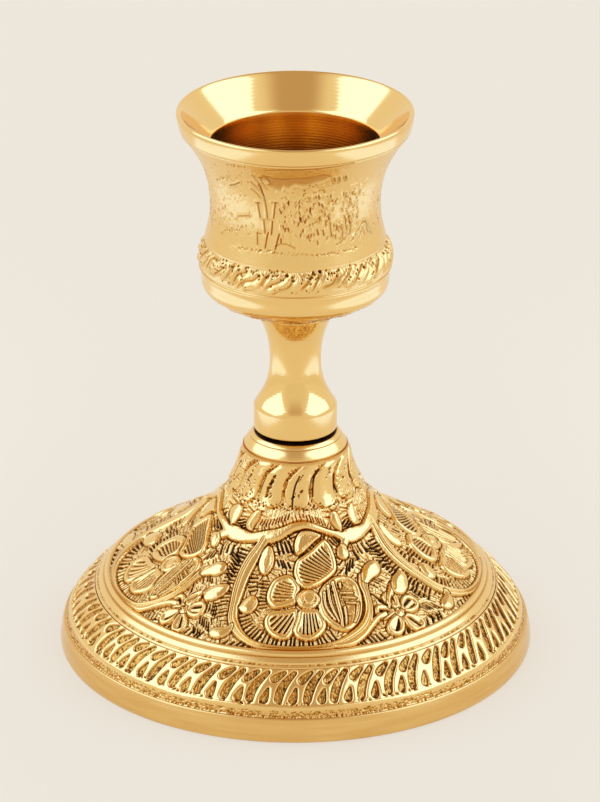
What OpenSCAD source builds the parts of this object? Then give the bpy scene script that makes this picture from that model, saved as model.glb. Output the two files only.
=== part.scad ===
// Altar candlestick: cast base, turned stem and cast candle cup held by one tie rod.
// Sizes in mm. The base rests on z = 0 and everything is coaxial with the Z axis.

/* [Candle] */
// diameter of the altar candle the socket takes
candle_d = 38.1; // [34:0.1:42]
// play of the candle in the socket, on the diameter
candle_clear = 0.5; // [0.2:0.1:1.2]

/* [Base] */
// widest diameter of the foot
base_d = 120.6; // [105:0.1:140]
// height of the seat on top of the base
base_h = 57.5; // [52:0.1:68]
// height of the plain band round the foot
band_h = 6.2; // [4:0.1:8]
// how far the plain band leans in over its height
band_lean = 1.1; // [0.4:0.1:2]
// width in plan of the grained ring above the band
grain_w = 1.5; // [0.8:0.1:3]
// rise of the grained ring
grain_rise = 2.7; // [1.5:0.1:4]
// width in plan of the fluted band
flute_w = 6.5; // [4:0.1:9]
// rise of the fluted band
flute_rise = 7.1; // [5:0.1:9]
// width in plan of the twin ring mouldings
rings_w = 3.6; // [2.4:0.1:5]
// rise of the twin ring mouldings
rings_rise = 3.3; // [2:0.1:5]
// slope of the flank where it leaves the rings, in degrees
flank_slope = 31; // [24:1:40]
// diameter of the neck under the collar
neck_d = 26.6; // [24:0.1:34]
// height of the collar above the neck
collar_h = 3.6; // [2.5:0.1:5]
// diameter of the seat on the collar
seat_d = 21.4; // [20:0.1:23]
// wall of the casting
wall = 3.2; // [2:0.1:4.5]
// width of the ring that rests on the table
foot_land = 4; // [2.5:0.1:6]
// thickness of the web that the rod passes through
web_t = 7; // [5:0.1:10]

/* [Ornament] */
// height of the scroll relief above its ground
relief_h = 0.8; // [0.4:0.1:1.2]
// width of the border of a petal, as a share of its size
petal_border = 0.4; // [0.2:0.05:0.6]
// number of flutes round the foot
flute_count = 51; // [40:1:60]
// depth of the flutes
flute_depth = 0.7; // [0.4:0.1:1]
// number of tongues round the neck
tongue_count = 14; // [10:1:18]
// width of the groove between two tongues
tongue_gap = 0.9; // [0.5:0.1:1.5]

/* [Stem] */
// shadow gap between the stem foot and the base
joint_gap = 1.1; // [0.5:0.1:2]
// depth of the recess that sits over the spigot of the base
recess_depth = 1.6; // [1:0.1:2.5]
// diameter of the stem foot
stem_foot_d = 21; // [20:0.1:23]
// height of the stem foot
stem_foot_h = 6.4; // [6:0.1:9]
// smallest diameter of the stem
stem_waist_d = 12.9; // [11:0.1:15]
// height of the smallest diameter above the stem foot
stem_waist_h = 12.1; // [9:0.1:14]
// diameter of the top of the stem
stem_top_d = 19.6; // [17:0.1:20]
// height from the smallest diameter to the top of the stem
stem_flare_h = 13.1; // [10:0.1:18]

/* [Cup] */
// wall of the cup at its waist
cup_wall = 1.7; // [1.2:0.1:3]
// height of the cup from its foot to the rim
cup_h = 52.6; // [50:0.1:60]
// diameter of the foot of the cup
cup_foot_d = 20.4; // [20.2:0.1:24]
// thickness of the cup floor at the rod
floor_t = 9.8; // [9:0.1:12]
// rise of the underside from the foot to the plain band
under_rise = 5.9; // [4:0.1:7]
// how far the plain band stands out from the waist
band_out = 2.4; // [1.5:0.1:4]
// height of the rope band above the foot
rope_z = 13.2; // [12.5:0.1:15]
// height of the rope band
rope_h = 5.5; // [4:0.1:7]
// how far the rope band stands out from the waist
rope_out = 3; // [2:0.1:4.5]
// how far the lip over the rope band stands out from the waist
roll_out = 1.5; // [0.8:0.1:2]
// height of the waist above the foot
waist_z = 29; // [26:0.1:32]
// height of the band below the rim
lip_h = 4.7; // [3:0.1:6]
// how far the flare stands out from the waist where it meets the lip
lip_out = 7.3; // [5:0.1:9]
// how far the rim stands out beyond the flare
rim_out = 0.9; // [0.4:0.1:2]
// width of the flat edge of the rim
rim_edge = 1; // [0.6:0.1:1.5]
// depth of the funnel mouth below the rim
funnel_depth = 7.7; // [5:0.1:10]
// how much wider the socket is at the funnel than at its parallel wall, on the radius
lead_w = 1.4; // [0.5:0.1:2]
// height of the lead-in cone above the parallel wall of the socket
lead_h = 14; // [8:0.1:16]

/* [Rod and fasteners] */
// outside diameter of the tie rod thread
rod_d = 6; // [5:0.1:7]
// length of rod screwed into the cup
rod_grip = 8; // [6:0.1:8.2]
// length of rod that shows below the nut
rod_end = 2; // [1:0.1:4]
// radial play of the rod in stem and base
rod_clear = 0.3; // [0.2:0.05:0.6]
// radial play of the rod in its threads
thread_fit = 0.05; // [0.02:0.01:0.1]
// width across the flats of both nuts
nut_af = 10; // [9:0.1:11]
// height of the base nut
nut_h = 5; // [4:0.1:6.5]
// height of the lock nut in the stem
lock_nut_h = 3.2; // [2.5:0.1:3.4]
// radial room round the lock nut
nut_room = 0.25; // [0.15:0.05:0.5]
// end play of the stem between cup and lock nut
stem_play = 0.1; // [0.05:0.05:0.2]
// room between the lock nut and the spigot of the base
nut_gap = 0.7; // [0.4:0.1:1]
// outside diameter of the flat washer
washer_d = 12; // [11:0.1:14]
// thickness of the flat washer
washer_t = 1.6; // [1:0.1:2.2]
// outside diameter of the spring washer
spring_d = 11.8; // [10.6:0.1:13]
// thickness of the spring washer
spring_t = 1.6; // [1:0.1:2.2]
// width of the split in the spring washer
split_w = 1.2; // [0.8:0.1:2]
// radial play of the spigot in the stem
spigot_clear = 0.1; // [0.05:0.05:0.2]
// width of the shoulder that the stem rests on
shoulder_w = 1.9; // [1.2:0.1:2.2]

/* [Hidden] */
$fn = 96;
CURVE = 12;
BEAD = 8;
BREAK = 0.6;
OVAL_SIDES = 8;
// small steps between the mouldings, inwards and upwards
STEP_IN = 0.3;
STEP_UP = 0.2;
// reach of the flank's pulls as a share of its length, and its lean from upright at the neck
FLANK_REACH = 0.395;
NECK_LEAN = 9;

// places on the scroll field: degrees round the axis from the front, and mm along the profile,
// which run from FIELD_LOW at the rings to FIELD_HIGH under the collar
FIELD_LOW = 24.1;
FIELD_HIGH = 74.8;
// degrees of one repeat of the scroll, and of the front to each side that the repeats follow evenly
REPEAT = 83;
FRONT = 95;
// numbers of the repeats, from the left of the back round to its right
REPEATS = [-2 : 1];

// raised strands: degrees, mm along the profile, half width in mm
VINES = [
    [[-45, 54.7, 1.9], [-31, 54.9, 1.3], [-19, 55.9, 1.8], [-12, 56.8, 1.6], [-2, 58.8, 1.1], [5, 59.3, 1.1],
     [12, 58.9, 1], [22, 57.1, 0.8], [29, 55.9, 0.9], [34, 54.9, 1.5], [39.5, 54.7, 1.1]],
    [[-20.5, 55.2, 1.3], [-24.6, 49.5, 1.7], [-25.6, 43.2, 1.7], [-24, 36.5, 1.4], [-22, 31.5, 1.3],
     [-17.2, 27.3, 1.2], [-10, 25.7, 0.9], [0, 25.4, 0.9], [10, 25.7, 0.9], [17.5, 26.7, 1.3],
     [23.5, 29.4, 1.4], [28, 34, 1], [30.2, 39.6, 1.1], [33.2, 43, 1.4]],
    [[20, 26.4, 0.5], [26, 29.1, 0.8], [32.5, 31.3, 0.7]],
    [[35.5, 32.8, 0.5], [38.5, 35.6, 0.7], [44, 38.2, 1.1]],
    [[28, 51.3, 0.9], [34, 54.2, 1.2]]
];

// raised plain leaves
LEAVES = [
    [[-17.5, 53.6], [-14.5, 53.2], [-12, 50.8], [-11.7, 48.5], [-15.5, 45.4], [-18, 46.1], [-20.2, 48.5],
     [-20, 51.5]],
    [[-21.8, 35.2], [-20.5, 38], [-18.5, 39.5], [-15.8, 39], [-14.6, 37.2], [-17.5, 33.8], [-20, 33.8]],
    [[-21.3, 30.2], [-26.5, 28.6], [-28.5, 27], [-27.5, 25.7], [-25, 25.4], [-22.5, 26.3], [-20, 28.3]],
    [[31, 42], [33.5, 44.8], [37.5, 46.3], [42, 46.8], [45, 45.6], [44, 43.6], [41, 42.3], [33, 41]],
    [[41.5, 36.8], [44, 39.4], [48, 40.8], [52.5, 41.1], [53.4, 39.3], [51, 36.9], [47.5, 35.2], [44, 35]],
    [[32.5, 56], [29, 58], [27.8, 60], [30, 61.8], [33.2, 61.9], [36, 60.5], [35.6, 56]],
    [[46, 56], [44.3, 58.5], [46, 60.7], [50, 62.1], [53.7, 62], [53.5, 60], [51, 56]],
    [[0.2, 51.6], [-1, 54], [0.5, 56.4], [5, 57.9], [11, 57.6], [18, 56], [8, 53.1]]
];

// petals, with a border that stands above the middle
PETALS = [
    [[0.8, 38], [-8, 36], [-11.5, 37.6], [-12.4, 40.5], [-11, 44], [-8, 45.6], [-3.5, 46.2], [2.3, 42.6]],
    [[3, 42.6], [0.2, 45], [-1, 47.4], [0.4, 50.2], [9, 52.9], [19, 55.4], [22.2, 53.7], [23, 50.4],
     [21.8, 47], [12, 43.4]],
    [[0.5, 36.3], [-8.7, 35.4], [-10.6, 33], [-9.2, 30.1], [-6, 28.1], [-2.6, 27.9], [1.4, 33]],
    [[2, 36], [-0.5, 29.4], [1, 27.5], [4, 26.9], [7, 27.6], [10.2, 31], [9.6, 34.6], [8, 36.1]],
    [[12, 42.4], [9.6, 40], [8.8, 37], [9.6, 33.5], [14.4, 29], [18, 28.6], [24, 32.4], [28.2, 38.8],
     [28.5, 41.4], [26.2, 43.9], [18, 44.7]]
];

// round bosses: degrees, mm along the profile, radius in mm
BOSSES = [[5.2, 39, 2.8], [28, 51.1, 1.8]];
// the small flower: its middle, and the place and half size of each petal in mm
FLOWER = [38, 30.3];
FLOWER_PETALS = 5;
FLOWER_TURN = 18;
FLOWER_AWAY = 3.9;
FLOWER_SIZE = [2.8, 2];

// the flutes of one unit: degrees, share of the border's width, half width in mm
FLUTES = [
    [[-0.1, 0.08, 1], [1.1, 0.5, 1.1], [4.2, 0.93, 0.6]],
    [[-1.6, 0.62, 1], [1.4, 0.94, 0.5]],
    [[3.4, 0.08, 1.1], [4.4, 0.46, 0.3]]
];
// degrees from the front to the first flute and to the edge of the first tongue
FLUTE_START = -46.4;
TONGUE_START = -11.5;
// edge of a tongue: mm along the profile and its lean in degrees
TONGUE_EDGE = [[65.4, 0.5], [68.2, 0.5], [71, 4], [72.6, 10], [74, 17]];
TONGUE_TIP = [[0.2, 63.6], [0.5, 63.1], [0.8, 63.6]];

BRASS = [0.83, 0.66, 0.32];
STEEL = [0.62, 0.63, 0.65];

// heights along the axis
stem_z = base_h + joint_gap;
rest_z = stem_z + recess_depth;
shoulder_z = rest_z + nut_gap + lock_nut_h + stem_play;
stem_waist_z = stem_z + stem_foot_h + stem_waist_h;
stem_top_z = stem_waist_z + stem_flare_h;
cup_z = stem_top_z + stem_play;
rim_z = cup_z + cup_h;
web_z = base_h - web_t;
washer_z = web_z - washer_t;
spring_z = washer_z - spring_t;
nut_z = spring_z - nut_h;
lock_z = rest_z + nut_gap;

// radii shared by pieces that fit together
rod_r = rod_d / 2;
thread_r = rod_r + thread_fit;
pass_r = rod_r + rod_clear;
nut_r = nut_af / sqrt(3);
nut_well_r = nut_r + nut_room;
recess_r = nut_well_r + shoulder_w;
spigot_r = recess_r - spigot_clear;
socket_r = (candle_d + candle_clear) / 2;
waist_r = socket_r + cup_wall;

// radii of the base
foot_r = base_d / 2;
band_r = foot_r - band_lean;
grain_r = band_r - grain_w;
flute_r = grain_r - flute_w;
field_r = flute_r - rings_w;
neck_r = neck_d / 2;
grain_z = band_h + grain_rise;
flute_z = grain_z + flute_rise;
field_z = flute_z + rings_rise;
neck_z = base_h - collar_h;
border_low = [grain_r - STEP_IN, grain_z];
border_high = [flute_r + STEP_UP, flute_z - STEP_UP];

// a cubic curve through two ends and two pulls
function curve(a, b, c, d) = [
    for (i = [0 : CURVE])
        let (t = i / CURVE, s = 1 - t)
            s * s * s * a + 3 * s * s * t * b + 3 * s * t * t * c + t * t * t * d
];

// the same curve set in by a wall, on the side towards the axis
function inner_curve(a, b, c, d, set_in) = [
    for (i = [0 : CURVE])
        let (
            t = i / CURVE,
            s = 1 - t,
            p = s * s * s * a + 3 * s * s * t * b + 3 * s * t * t * c + t * t * t * d,
            v = s * s * (b - a) + 2 * s * t * (c - b) + t * t * (d - c),
            n = [v[1], -v[0]] / norm(v)
        )
            p - set_in * n
];

// a bulge over the line from a to b, on the side away from the axis
function bead(a, b, bulge) =
    let (v = b - a, n = [v[1], -v[0]] / norm(v))
        [for (i = [0 : BEAD]) let (t = i / BEAD) a + t * v + 4 * bulge * t * (1 - t) * n];

function reversed(list) = [for (i = [len(list) - 1 : -1 : 0]) list[i]];

function scaled(list, share) =
    let (mid = [for (k = [0, 1]) min([for (p = list) p[k]]) / 2 + max([for (p = list) p[k]]) / 2])
        [for (p = list) mid + share * (p - mid)];

// flank of the base
flank_a = [field_r, field_z];
flank_d = [neck_r, neck_z];
flank_pull = FLANK_REACH * norm(flank_d - flank_a);
flank_b = flank_a + flank_pull * [-cos(flank_slope), sin(flank_slope)];
flank_c = flank_d + flank_pull * [sin(NECK_LEAN), -cos(NECK_LEAN)];
flank = curve(flank_a, flank_b, flank_c, flank_d);
flank_steps = [for (i = [1 : CURVE]) norm(flank[i] - flank[i - 1])];
flank_radii = [for (i = [0 : CURVE]) [run_to(i) / run_to(CURVE), flank[i][0]]];

// length of the flank from the rings to one of its points
function run_to(i) = i == 0 ? 0 : run_to(i - 1) + flank_steps[i - 1];

// radius of the flank at a place along the profile
function field_radius(place) = lookup((place - FIELD_LOW) / (FIELD_HIGH - FIELD_LOW), flank_radii);

// degrees round the base of a place in the row of repeats
function around(turn) =
    abs(turn) <= FRONT ? turn
                       : sign(turn) * (FRONT + (abs(turn) - FRONT) * (180 - FRONT) / (2 * REPEAT - FRONT));

function plan(r, turn) = r * [sin(turn), -cos(turn)];

// both edges of a strand, as one outline; scale is the mm of one step across and up at each point
function strand(list, scale) = concat(
    [for (i = [0 : len(list) - 1]) beside(list, i, scale[i], 1)],
    [for (i = [len(list) - 1 : -1 : 0]) beside(list, i, scale[i], -1)]
);

function beside(list, i, scale, hand) =
    let (
        a = list[max(i - 1, 0)],
        b = list[min(i + 1, len(list) - 1)],
        run = [(b[0] - a[0]) * scale[0], (b[1] - a[1]) * scale[1]],
        off = hand * list[i][2] / norm(run)
    )
        [list[i][0] - off * run[1] / scale[0], list[i][1] + off * run[0] / scale[1]];

function field_strand(list) = strand(list, [for (p = list) [field_radius(p[1]) * PI / 180, 1]]);

// an oval on the scroll field: size is its half length and half width, turned about its middle
function oval(mid, away, size, turn) =
    let (scale = field_radius(mid[1]) * PI / 180)
        [for (i = [0 : OVAL_SIDES - 1])
            let (a = i * 360 / OVAL_SIDES, x = away + size[0] * cos(a), y = size[1] * sin(a))
                mid + [(x * cos(turn) - y * sin(turn)) / scale, x * sin(turn) + y * cos(turn)]];

base_casting();
stem();
candle_cup();
tie_rod();
rod_lock_nut();
base_washer();
spring_washer();
base_nut();

// repeats of an outline round the scroll field, seen from above
module repeats(outline) {
    for (k = REPEATS)
        polygon([for (p = outline) plan(field_radius(p[1]), around(p[0] + k * REPEAT))]);
}

// the part of the bell within an outline, raised above the flank
module raised(height) {
    intersection() {
        rotate_extrude()
            polygon(concat(
                inner_curve(flank_a, flank_b, flank_c, flank_d, -height),
                reversed(inner_curve(flank_a, flank_b, flank_c, flank_d, relief_h))
            ));
        translate([0, 0, band_h])
            linear_extrude(base_h - band_h)
                children();
    }
}

module scroll_relief() {
    raised(relief_h / 2) {
        for (list = VINES)
            repeats(field_strand(list));
        for (list = LEAVES)
            repeats(list);
        for (spot = BOSSES)
            repeats(oval([spot[0], spot[1]], 0, [spot[2], spot[2]], 0));
        for (i = [0 : FLOWER_PETALS - 1])
            repeats(oval(FLOWER, FLOWER_AWAY, FLOWER_SIZE, FLOWER_TURN + i * 360 / FLOWER_PETALS));
        for (list = PETALS)
            difference() {
                repeats(list);
                repeats(scaled(list, 1 - petal_border));
            }
        tongues();
    }
    raised(0)
        for (list = PETALS)
            repeats(scaled(list, 1 - petal_border / 2));
}

// leaning tongues round the neck, seen from above
module tongues() {
    unit = 360 / tongue_count;
    for (i = [0 : tongue_count - 1]) {
        start = TONGUE_START + i * unit;
        outline = concat(
            [for (e = reversed(TONGUE_EDGE)) [start + e[1] + tongue_side(e[0]), e[0]]],
            [for (e = TONGUE_TIP) [start + e[0] * unit, e[1]]],
            [for (e = TONGUE_EDGE) [start + unit + e[1] - tongue_side(e[0]), e[0]]]
        );
        polygon([for (p = outline) plan(field_radius(p[1]), p[0])]);
    }
}

// degrees from the middle of a groove to the side of a tongue
function tongue_side(place) = tongue_gap / 2 / (field_radius(place) * PI / 180);

// slanted hollows round the border above the grained ring
module flutes() {
    run = border_high - border_low;
    scale = [(border_low[0] + border_high[0]) / 2 * PI / 180, norm(run)];
    normal = [run[1], -run[0]] / norm(run);
    floor = flute_depth * normal;
    intersection() {
        rotate_extrude()
            polygon([border_low - floor, border_low + normal, border_high + normal, border_high - floor]);
        linear_extrude(base_h)
            for (i = [0 : flute_count - 1], list = FLUTES)
                polygon([
                    for (p = strand(list, [for (q = list) scale]))
                        plan(border_low[0] + p[1] * run[0], FLUTE_START + i * 360 / flute_count + p[0])
                ]);
    }
}

// hollow bell with ring mouldings, collar and the spigot that centres the stem
module base_casting() {
    ring_mid = ([flute_r, flute_z] + flank_a) / 2;
    land_r = foot_r - BREAK - foot_land;
    hollow = [for (p = inner_curve(flank_a, flank_b, flank_c, flank_d, wall)) if (p[1] < web_z) p];
    outside = concat(
        [[foot_r - BREAK, 0], [foot_r, BREAK + 0.5]],
        [[band_r + 0.2, band_h - 0.4], [band_r - 0.2, band_h]],
        bead([band_r - 0.3, band_h], [grain_r, grain_z], 0.1),
        bead(border_low, border_high, 0.3),
        bead([flute_r - 0.2, flute_z], ring_mid, 0.35),
        bead(ring_mid - [0.3, -0.2], flank_a, 0.3),
        inner_curve(flank_a, flank_b, flank_c, flank_d, relief_h / 2),
        bead([neck_r - 0.4, neck_z + 0.4], [seat_d / 2, base_h], 0.6),
        [[spigot_r, base_h], [spigot_r, rest_z - 0.3], [spigot_r - 0.3, rest_z], [pass_r, rest_z]]
    );
    inside = concat(
        [[pass_r, web_z], [hollow[len(hollow) - 1][0] - 0.4, web_z]],
        reversed(hollow),
        [[land_r, band_h - 1.4], [land_r, 0]]
    );
    color(BRASS)
        difference() {
            union() {
                rotate_extrude()
                    polygon(concat(outside, inside));
                scroll_relief();
            }
            flutes();
        }
}

// turned spool, bored for the rod, with a recess over the spigot and a well for the lock nut
module stem() {
    foot_r = stem_foot_d / 2;
    top_r = stem_top_d / 2;
    narrow = [stem_waist_d / 2, stem_waist_z];
    shoulder = [foot_r, stem_z + stem_foot_h];
    low = curve(shoulder, shoulder + [-3.1, 4.4], narrow - [0, 4.4], narrow);
    high = curve(narrow, narrow + [0, 0.36 * stem_flare_h], [top_r - 2.3, stem_top_z - 4.3],
                 [top_r, stem_top_z]);
    color(BRASS)
        rotate_extrude()
            polygon(concat(
                [[recess_r, stem_z], [foot_r - 0.3, stem_z], [foot_r, stem_z + 0.3]],
                low,
                [for (i = [1 : CURVE]) high[i]],
                [[pass_r, stem_top_z], [pass_r, shoulder_z], [nut_well_r, shoulder_z]],
                [[nut_well_r, rest_z], [recess_r, rest_z]]
            ));
}

// cast socket: plain band, rope band, waist, flared lip, funnel and bored socket
module candle_cup() {
    under_r = waist_r + band_out - 1.6;
    band_r = waist_r + band_out;
    rope_r = waist_r + rope_out;
    roll_r = waist_r + roll_out;
    lip_r = waist_r + lip_out;
    rim_r = lip_r + rim_out;
    floor_z = cup_z + floor_t;
    lip_z = rim_z - lip_h;
    mouth_z = rim_z - funnel_depth;
    roll_z = cup_z + rope_z + rope_h;
    narrow = [waist_r, cup_z + waist_z];
    low = curve([roll_r, roll_z + 0.9], [roll_r - 0.95, roll_z + 4.7], narrow - [0, 3.7], narrow);
    high = curve(narrow, narrow + [0.4, 7.8], [lip_r - 5.3, lip_z - 6.8], [lip_r, lip_z]);
    color(BRASS)
        rotate_extrude()
            polygon(concat(
                [[thread_r, cup_z], [cup_foot_d / 2, cup_z]],
                bead([cup_foot_d / 2 + 0.2, cup_z + 0.4], [under_r, cup_z + under_rise], 0.3),
                [[band_r - 0.5, cup_z + under_rise + 1], [band_r, cup_z + under_rise + 2.4]],
                [[band_r, cup_z + rope_z - 3], [rope_r, cup_z + rope_z - 0.6]],
                [[rope_r - 0.2, cup_z + rope_z - 0.2]],
                bead([rope_r, cup_z + rope_z], [roll_r - 0.1, roll_z], 0.7),
                low,
                [for (i = [1 : CURVE]) high[i]],
                [[lip_r - 0.1, lip_z + 0.2], [lip_r + 0.3, lip_z + 0.4], [rim_r, rim_z - 0.7]],
                [[rim_r - 0.3, rim_z - 0.1], [rim_r - 0.5, rim_z]],
                [[rim_r - rim_edge, rim_z - 0.3], [socket_r + lead_w, mouth_z]],
                [[socket_r, mouth_z - lead_h], [socket_r, floor_z]],
                [[0, floor_z], [0, cup_z + rod_grip + 0.4], [thread_r, cup_z + rod_grip + 0.4]]
            ));
}

// threaded rod, its thread drawn as a plain cylinder of the outside diameter
module tie_rod() {
    color(STEEL)
        translate([0, 0, nut_z - rod_end])
            rotate_extrude()
                polygon(let (top = cup_z + rod_grip - nut_z + rod_end) [
                    [0, 0], [rod_r - BREAK, 0], [rod_r, BREAK],
                    [rod_r, top - BREAK], [rod_r - BREAK, top], [0, top]
                ]);
}

// thin nut that locks the rod and keeps the stem on it
module rod_lock_nut() {
    color(STEEL)
        translate([0, 0, lock_z])
            hex_nut(lock_nut_h);
}

// flat washer against the web of the base
module base_washer() {
    color(STEEL)
        translate([0, 0, washer_z])
            difference() {
                cylinder(d = washer_d, h = washer_t);
                translate([0, 0, -1])
                    cylinder(r = pass_r, h = washer_t + 2);
            }
}

// split washer, drawn pressed flat
module spring_washer() {
    color(STEEL)
        translate([0, 0, spring_z])
            difference() {
                cylinder(d = spring_d, h = spring_t);
                translate([0, 0, -1])
                    cylinder(r = pass_r, h = spring_t + 2);
                translate([0, -split_w / 2, -1])
                    cube([spring_d, split_w, spring_t + 2]);
            }
}

// nut that pulls the rod, stem and cup down on the base
module base_nut() {
    color(STEEL)
        translate([0, 0, nut_z])
            hex_nut(nut_h);
}

module hex_nut(height) {
    difference() {
        cylinder(r = nut_r, h = height, $fn = 6);
        translate([0, 0, -1])
            cylinder(r = thread_r, h = height + 2);
    }
}
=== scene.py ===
"""Altar candlestick: the looks of the cast base, stem, cup and fastening, set on the CAD frame."""
import math

import bpy
import numpy as np
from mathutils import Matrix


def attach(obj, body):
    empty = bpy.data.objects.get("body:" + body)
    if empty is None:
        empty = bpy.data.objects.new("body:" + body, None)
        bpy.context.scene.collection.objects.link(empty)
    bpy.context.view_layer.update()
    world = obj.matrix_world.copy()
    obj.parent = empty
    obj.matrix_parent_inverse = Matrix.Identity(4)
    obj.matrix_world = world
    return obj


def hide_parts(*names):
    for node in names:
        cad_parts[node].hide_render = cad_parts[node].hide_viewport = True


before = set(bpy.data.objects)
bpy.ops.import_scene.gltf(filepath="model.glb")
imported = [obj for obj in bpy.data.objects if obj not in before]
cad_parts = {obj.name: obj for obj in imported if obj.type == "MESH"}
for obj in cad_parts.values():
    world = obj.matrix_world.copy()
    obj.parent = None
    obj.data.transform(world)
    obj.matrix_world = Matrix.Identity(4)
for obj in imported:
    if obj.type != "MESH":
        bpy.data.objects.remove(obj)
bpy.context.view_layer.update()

bl_info = {
    "name": "Altar Candlestick",
    "version": (1, 0, 0),
    "blender": (4, 5, 0),
    "location": "3D View > Sidebar > Candlestick",
    "description": "Models a chased brass altar candlestick piece by piece",
    "category": "Add Mesh",
}

# Profiles, in mm: distance from the axis, height above the table

MM = 0.001
FOOT_R, FOOT_EDGE_Z = 60.3, 1.1
BAND_H = 6.2
GRAIN_R, GRAIN_Z = 57.7, 8.9
FLUTE_R, FLUTE_Z = 51.2, 16.0
FIELD_R, FIELD_Z = 47.6, 19.3
NECK_R, NECK_Z = 13.3, 53.9
SEAT_R, SEAT_Z = 10.7, 57.5
SPIGOT_R, SPIGOT_Z = 7.82, 60.2
ROD_HOLE_R = 3.3
WEB_Z = 50.5
FOOT_RIM_W = 4.0
STEM_Z, STEM_TOP_Z = 58.6, 90.2
STEM_FOOT_R, STEM_WAIST_R, STEM_WAIST_Z = 10.5, 6.45, 77.1
NUT_WELL_R, NUT_WELL_LOW_Z, NUT_WELL_Z, RECESS_R = 6.02, 60.4, 64.2, 7.92
CUP_Z, CUP_FLOOR_Z, CUP_MOUTH_Z, RIM_Z = 90.3, 100.1, 135.2, 142.9
CUP_BAND_R, CUP_ROPE_R, CUP_ROLL_R, CUP_WAIST_R, CUP_WAIST_Z = 23.4, 24.0, 22.5, 21.0, 119.3
LIP_R, LIP_Z, RIM_R, SOCKET_R = 28.3, RIM_Z - 4.7, 29.2, 19.3
TAPPED_R, NUT_ACROSS = 3.05, 10.0

# Points in a ring of the base's foot, its mouldings, its neck and inside, and the cup
BASE_RING, MOULDING_RING, INSIDE_RING, CUP_RING = 600, 1200, 300, 320

# Marks of a hidden surface, also used on the faces in the gap under the stem as a painted shadow: all dark
# and all dull
UNSEEN_AND_GAP_SHADE = (1.0, 1.0)

# How far a ring's points crowd to the front, how far the ink, with its painted shade, darkens the brass
CROWDING, DARKENING = 0.22, 1.28

# A limit of polish that lets punch marks fall anywhere
ANYWHERE = 2.0


def bezier(a, b, c, d, steps):
    """Points along a cubic curve."""
    t = np.linspace(0.0, 1.0, steps + 1)[:, None]
    a, b, c, d = (np.asarray(p, float) for p in (a, b, c, d))
    return (1 - t) ** 3 * a + 3 * t * (1 - t) ** 2 * b + 3 * t * t * (1 - t) * c + t ** 3 * d


def bulged(a, b, bulge, steps):
    """Points from a to b on a shallow arc that stands proud by the given height."""
    t = np.linspace(0.0, 1.0, steps + 1)[:, None]
    a, b = np.asarray(a, float), np.asarray(b, float)
    run = b - a
    out = np.array([run[1], -run[0]]) / np.hypot(*run)
    return a + t * run + 4 * bulge * t * (1 - t) * out


def lengths(points):
    """Distance of each point of a line from its start."""
    return np.concatenate([[0.0], np.cumsum(np.hypot(*np.diff(points, axis=0).T))])


def resampled(points, step):
    """The same line with its points evenly spaced."""
    points = np.asarray(points, float)
    run = lengths(points)
    count = max(2, int(round(run[-1] / step)) + 1)
    at = np.linspace(0.0, run[-1], count)
    return np.column_stack([np.interp(at, run, points[:, 0]), np.interp(at, run, points[:, 1])])


def outward(points):
    """Unit normals of a profile, on its right hand."""
    run = np.gradient(np.asarray(points, float), axis=0)
    size = np.hypot(run[:, 0], run[:, 1])[:, None]
    return np.column_stack([run[:, 1], -run[:, 0]]) / np.maximum(size, 1e-9)


def surface(ups, points):
    """A function that gives the point and the unit normal at a place along a profile."""
    normals = outward(points)

    def spot(up):
        """Radius and height of the point, and of its normal."""
        return ([np.interp(up, ups, points[:, k]) for k in (0, 1)],
                [np.interp(up, ups, normals[:, k]) for k in (0, 1)])

    return spot


# Place up of the dotted line between the flutes and the scrolls
DOTTED_UP = 20.0

# The flank of the base; places along it are in mm, counted from the foot's edge
FLANK_START = 24.1
FLANK_PULL = 0.395 * math.hypot(FIELD_R - NECK_R, NECK_Z - FIELD_Z)
FIELD_SLOPE, NECK_SLOPE = math.radians(31), math.radians(9)
FLANK = bezier(
    (FIELD_R, FIELD_Z),
    (FIELD_R - FLANK_PULL * math.cos(FIELD_SLOPE), FIELD_Z + FLANK_PULL * math.sin(FIELD_SLOPE)),
    (NECK_R + FLANK_PULL * math.sin(NECK_SLOPE), NECK_Z - FLANK_PULL * math.cos(NECK_SLOPE)),
    (NECK_R, NECK_Z), 400)
on_flank = surface(FLANK_START + lengths(FLANK), FLANK)

# The stippled ring and the fluted border below the flank
BORDER = resampled(np.vstack([
    bulged((58.9, BAND_H), (GRAIN_R, GRAIN_Z), 0.1, 12),
    bulged((GRAIN_R - 0.25, GRAIN_Z + 0.1), (FLUTE_R + 0.2, FLUTE_Z - 0.2), 0.3, 30)]), 0.1)
on_border = surface(np.linspace(6.6, 19.1, len(BORDER)), BORDER)


def turns(count):
    """Angles of a ring's points from the front, set closer together there than at the back."""
    even = np.arange(count) * 2 * math.pi / count
    return even - CROWDING * np.sin(even)


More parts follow.
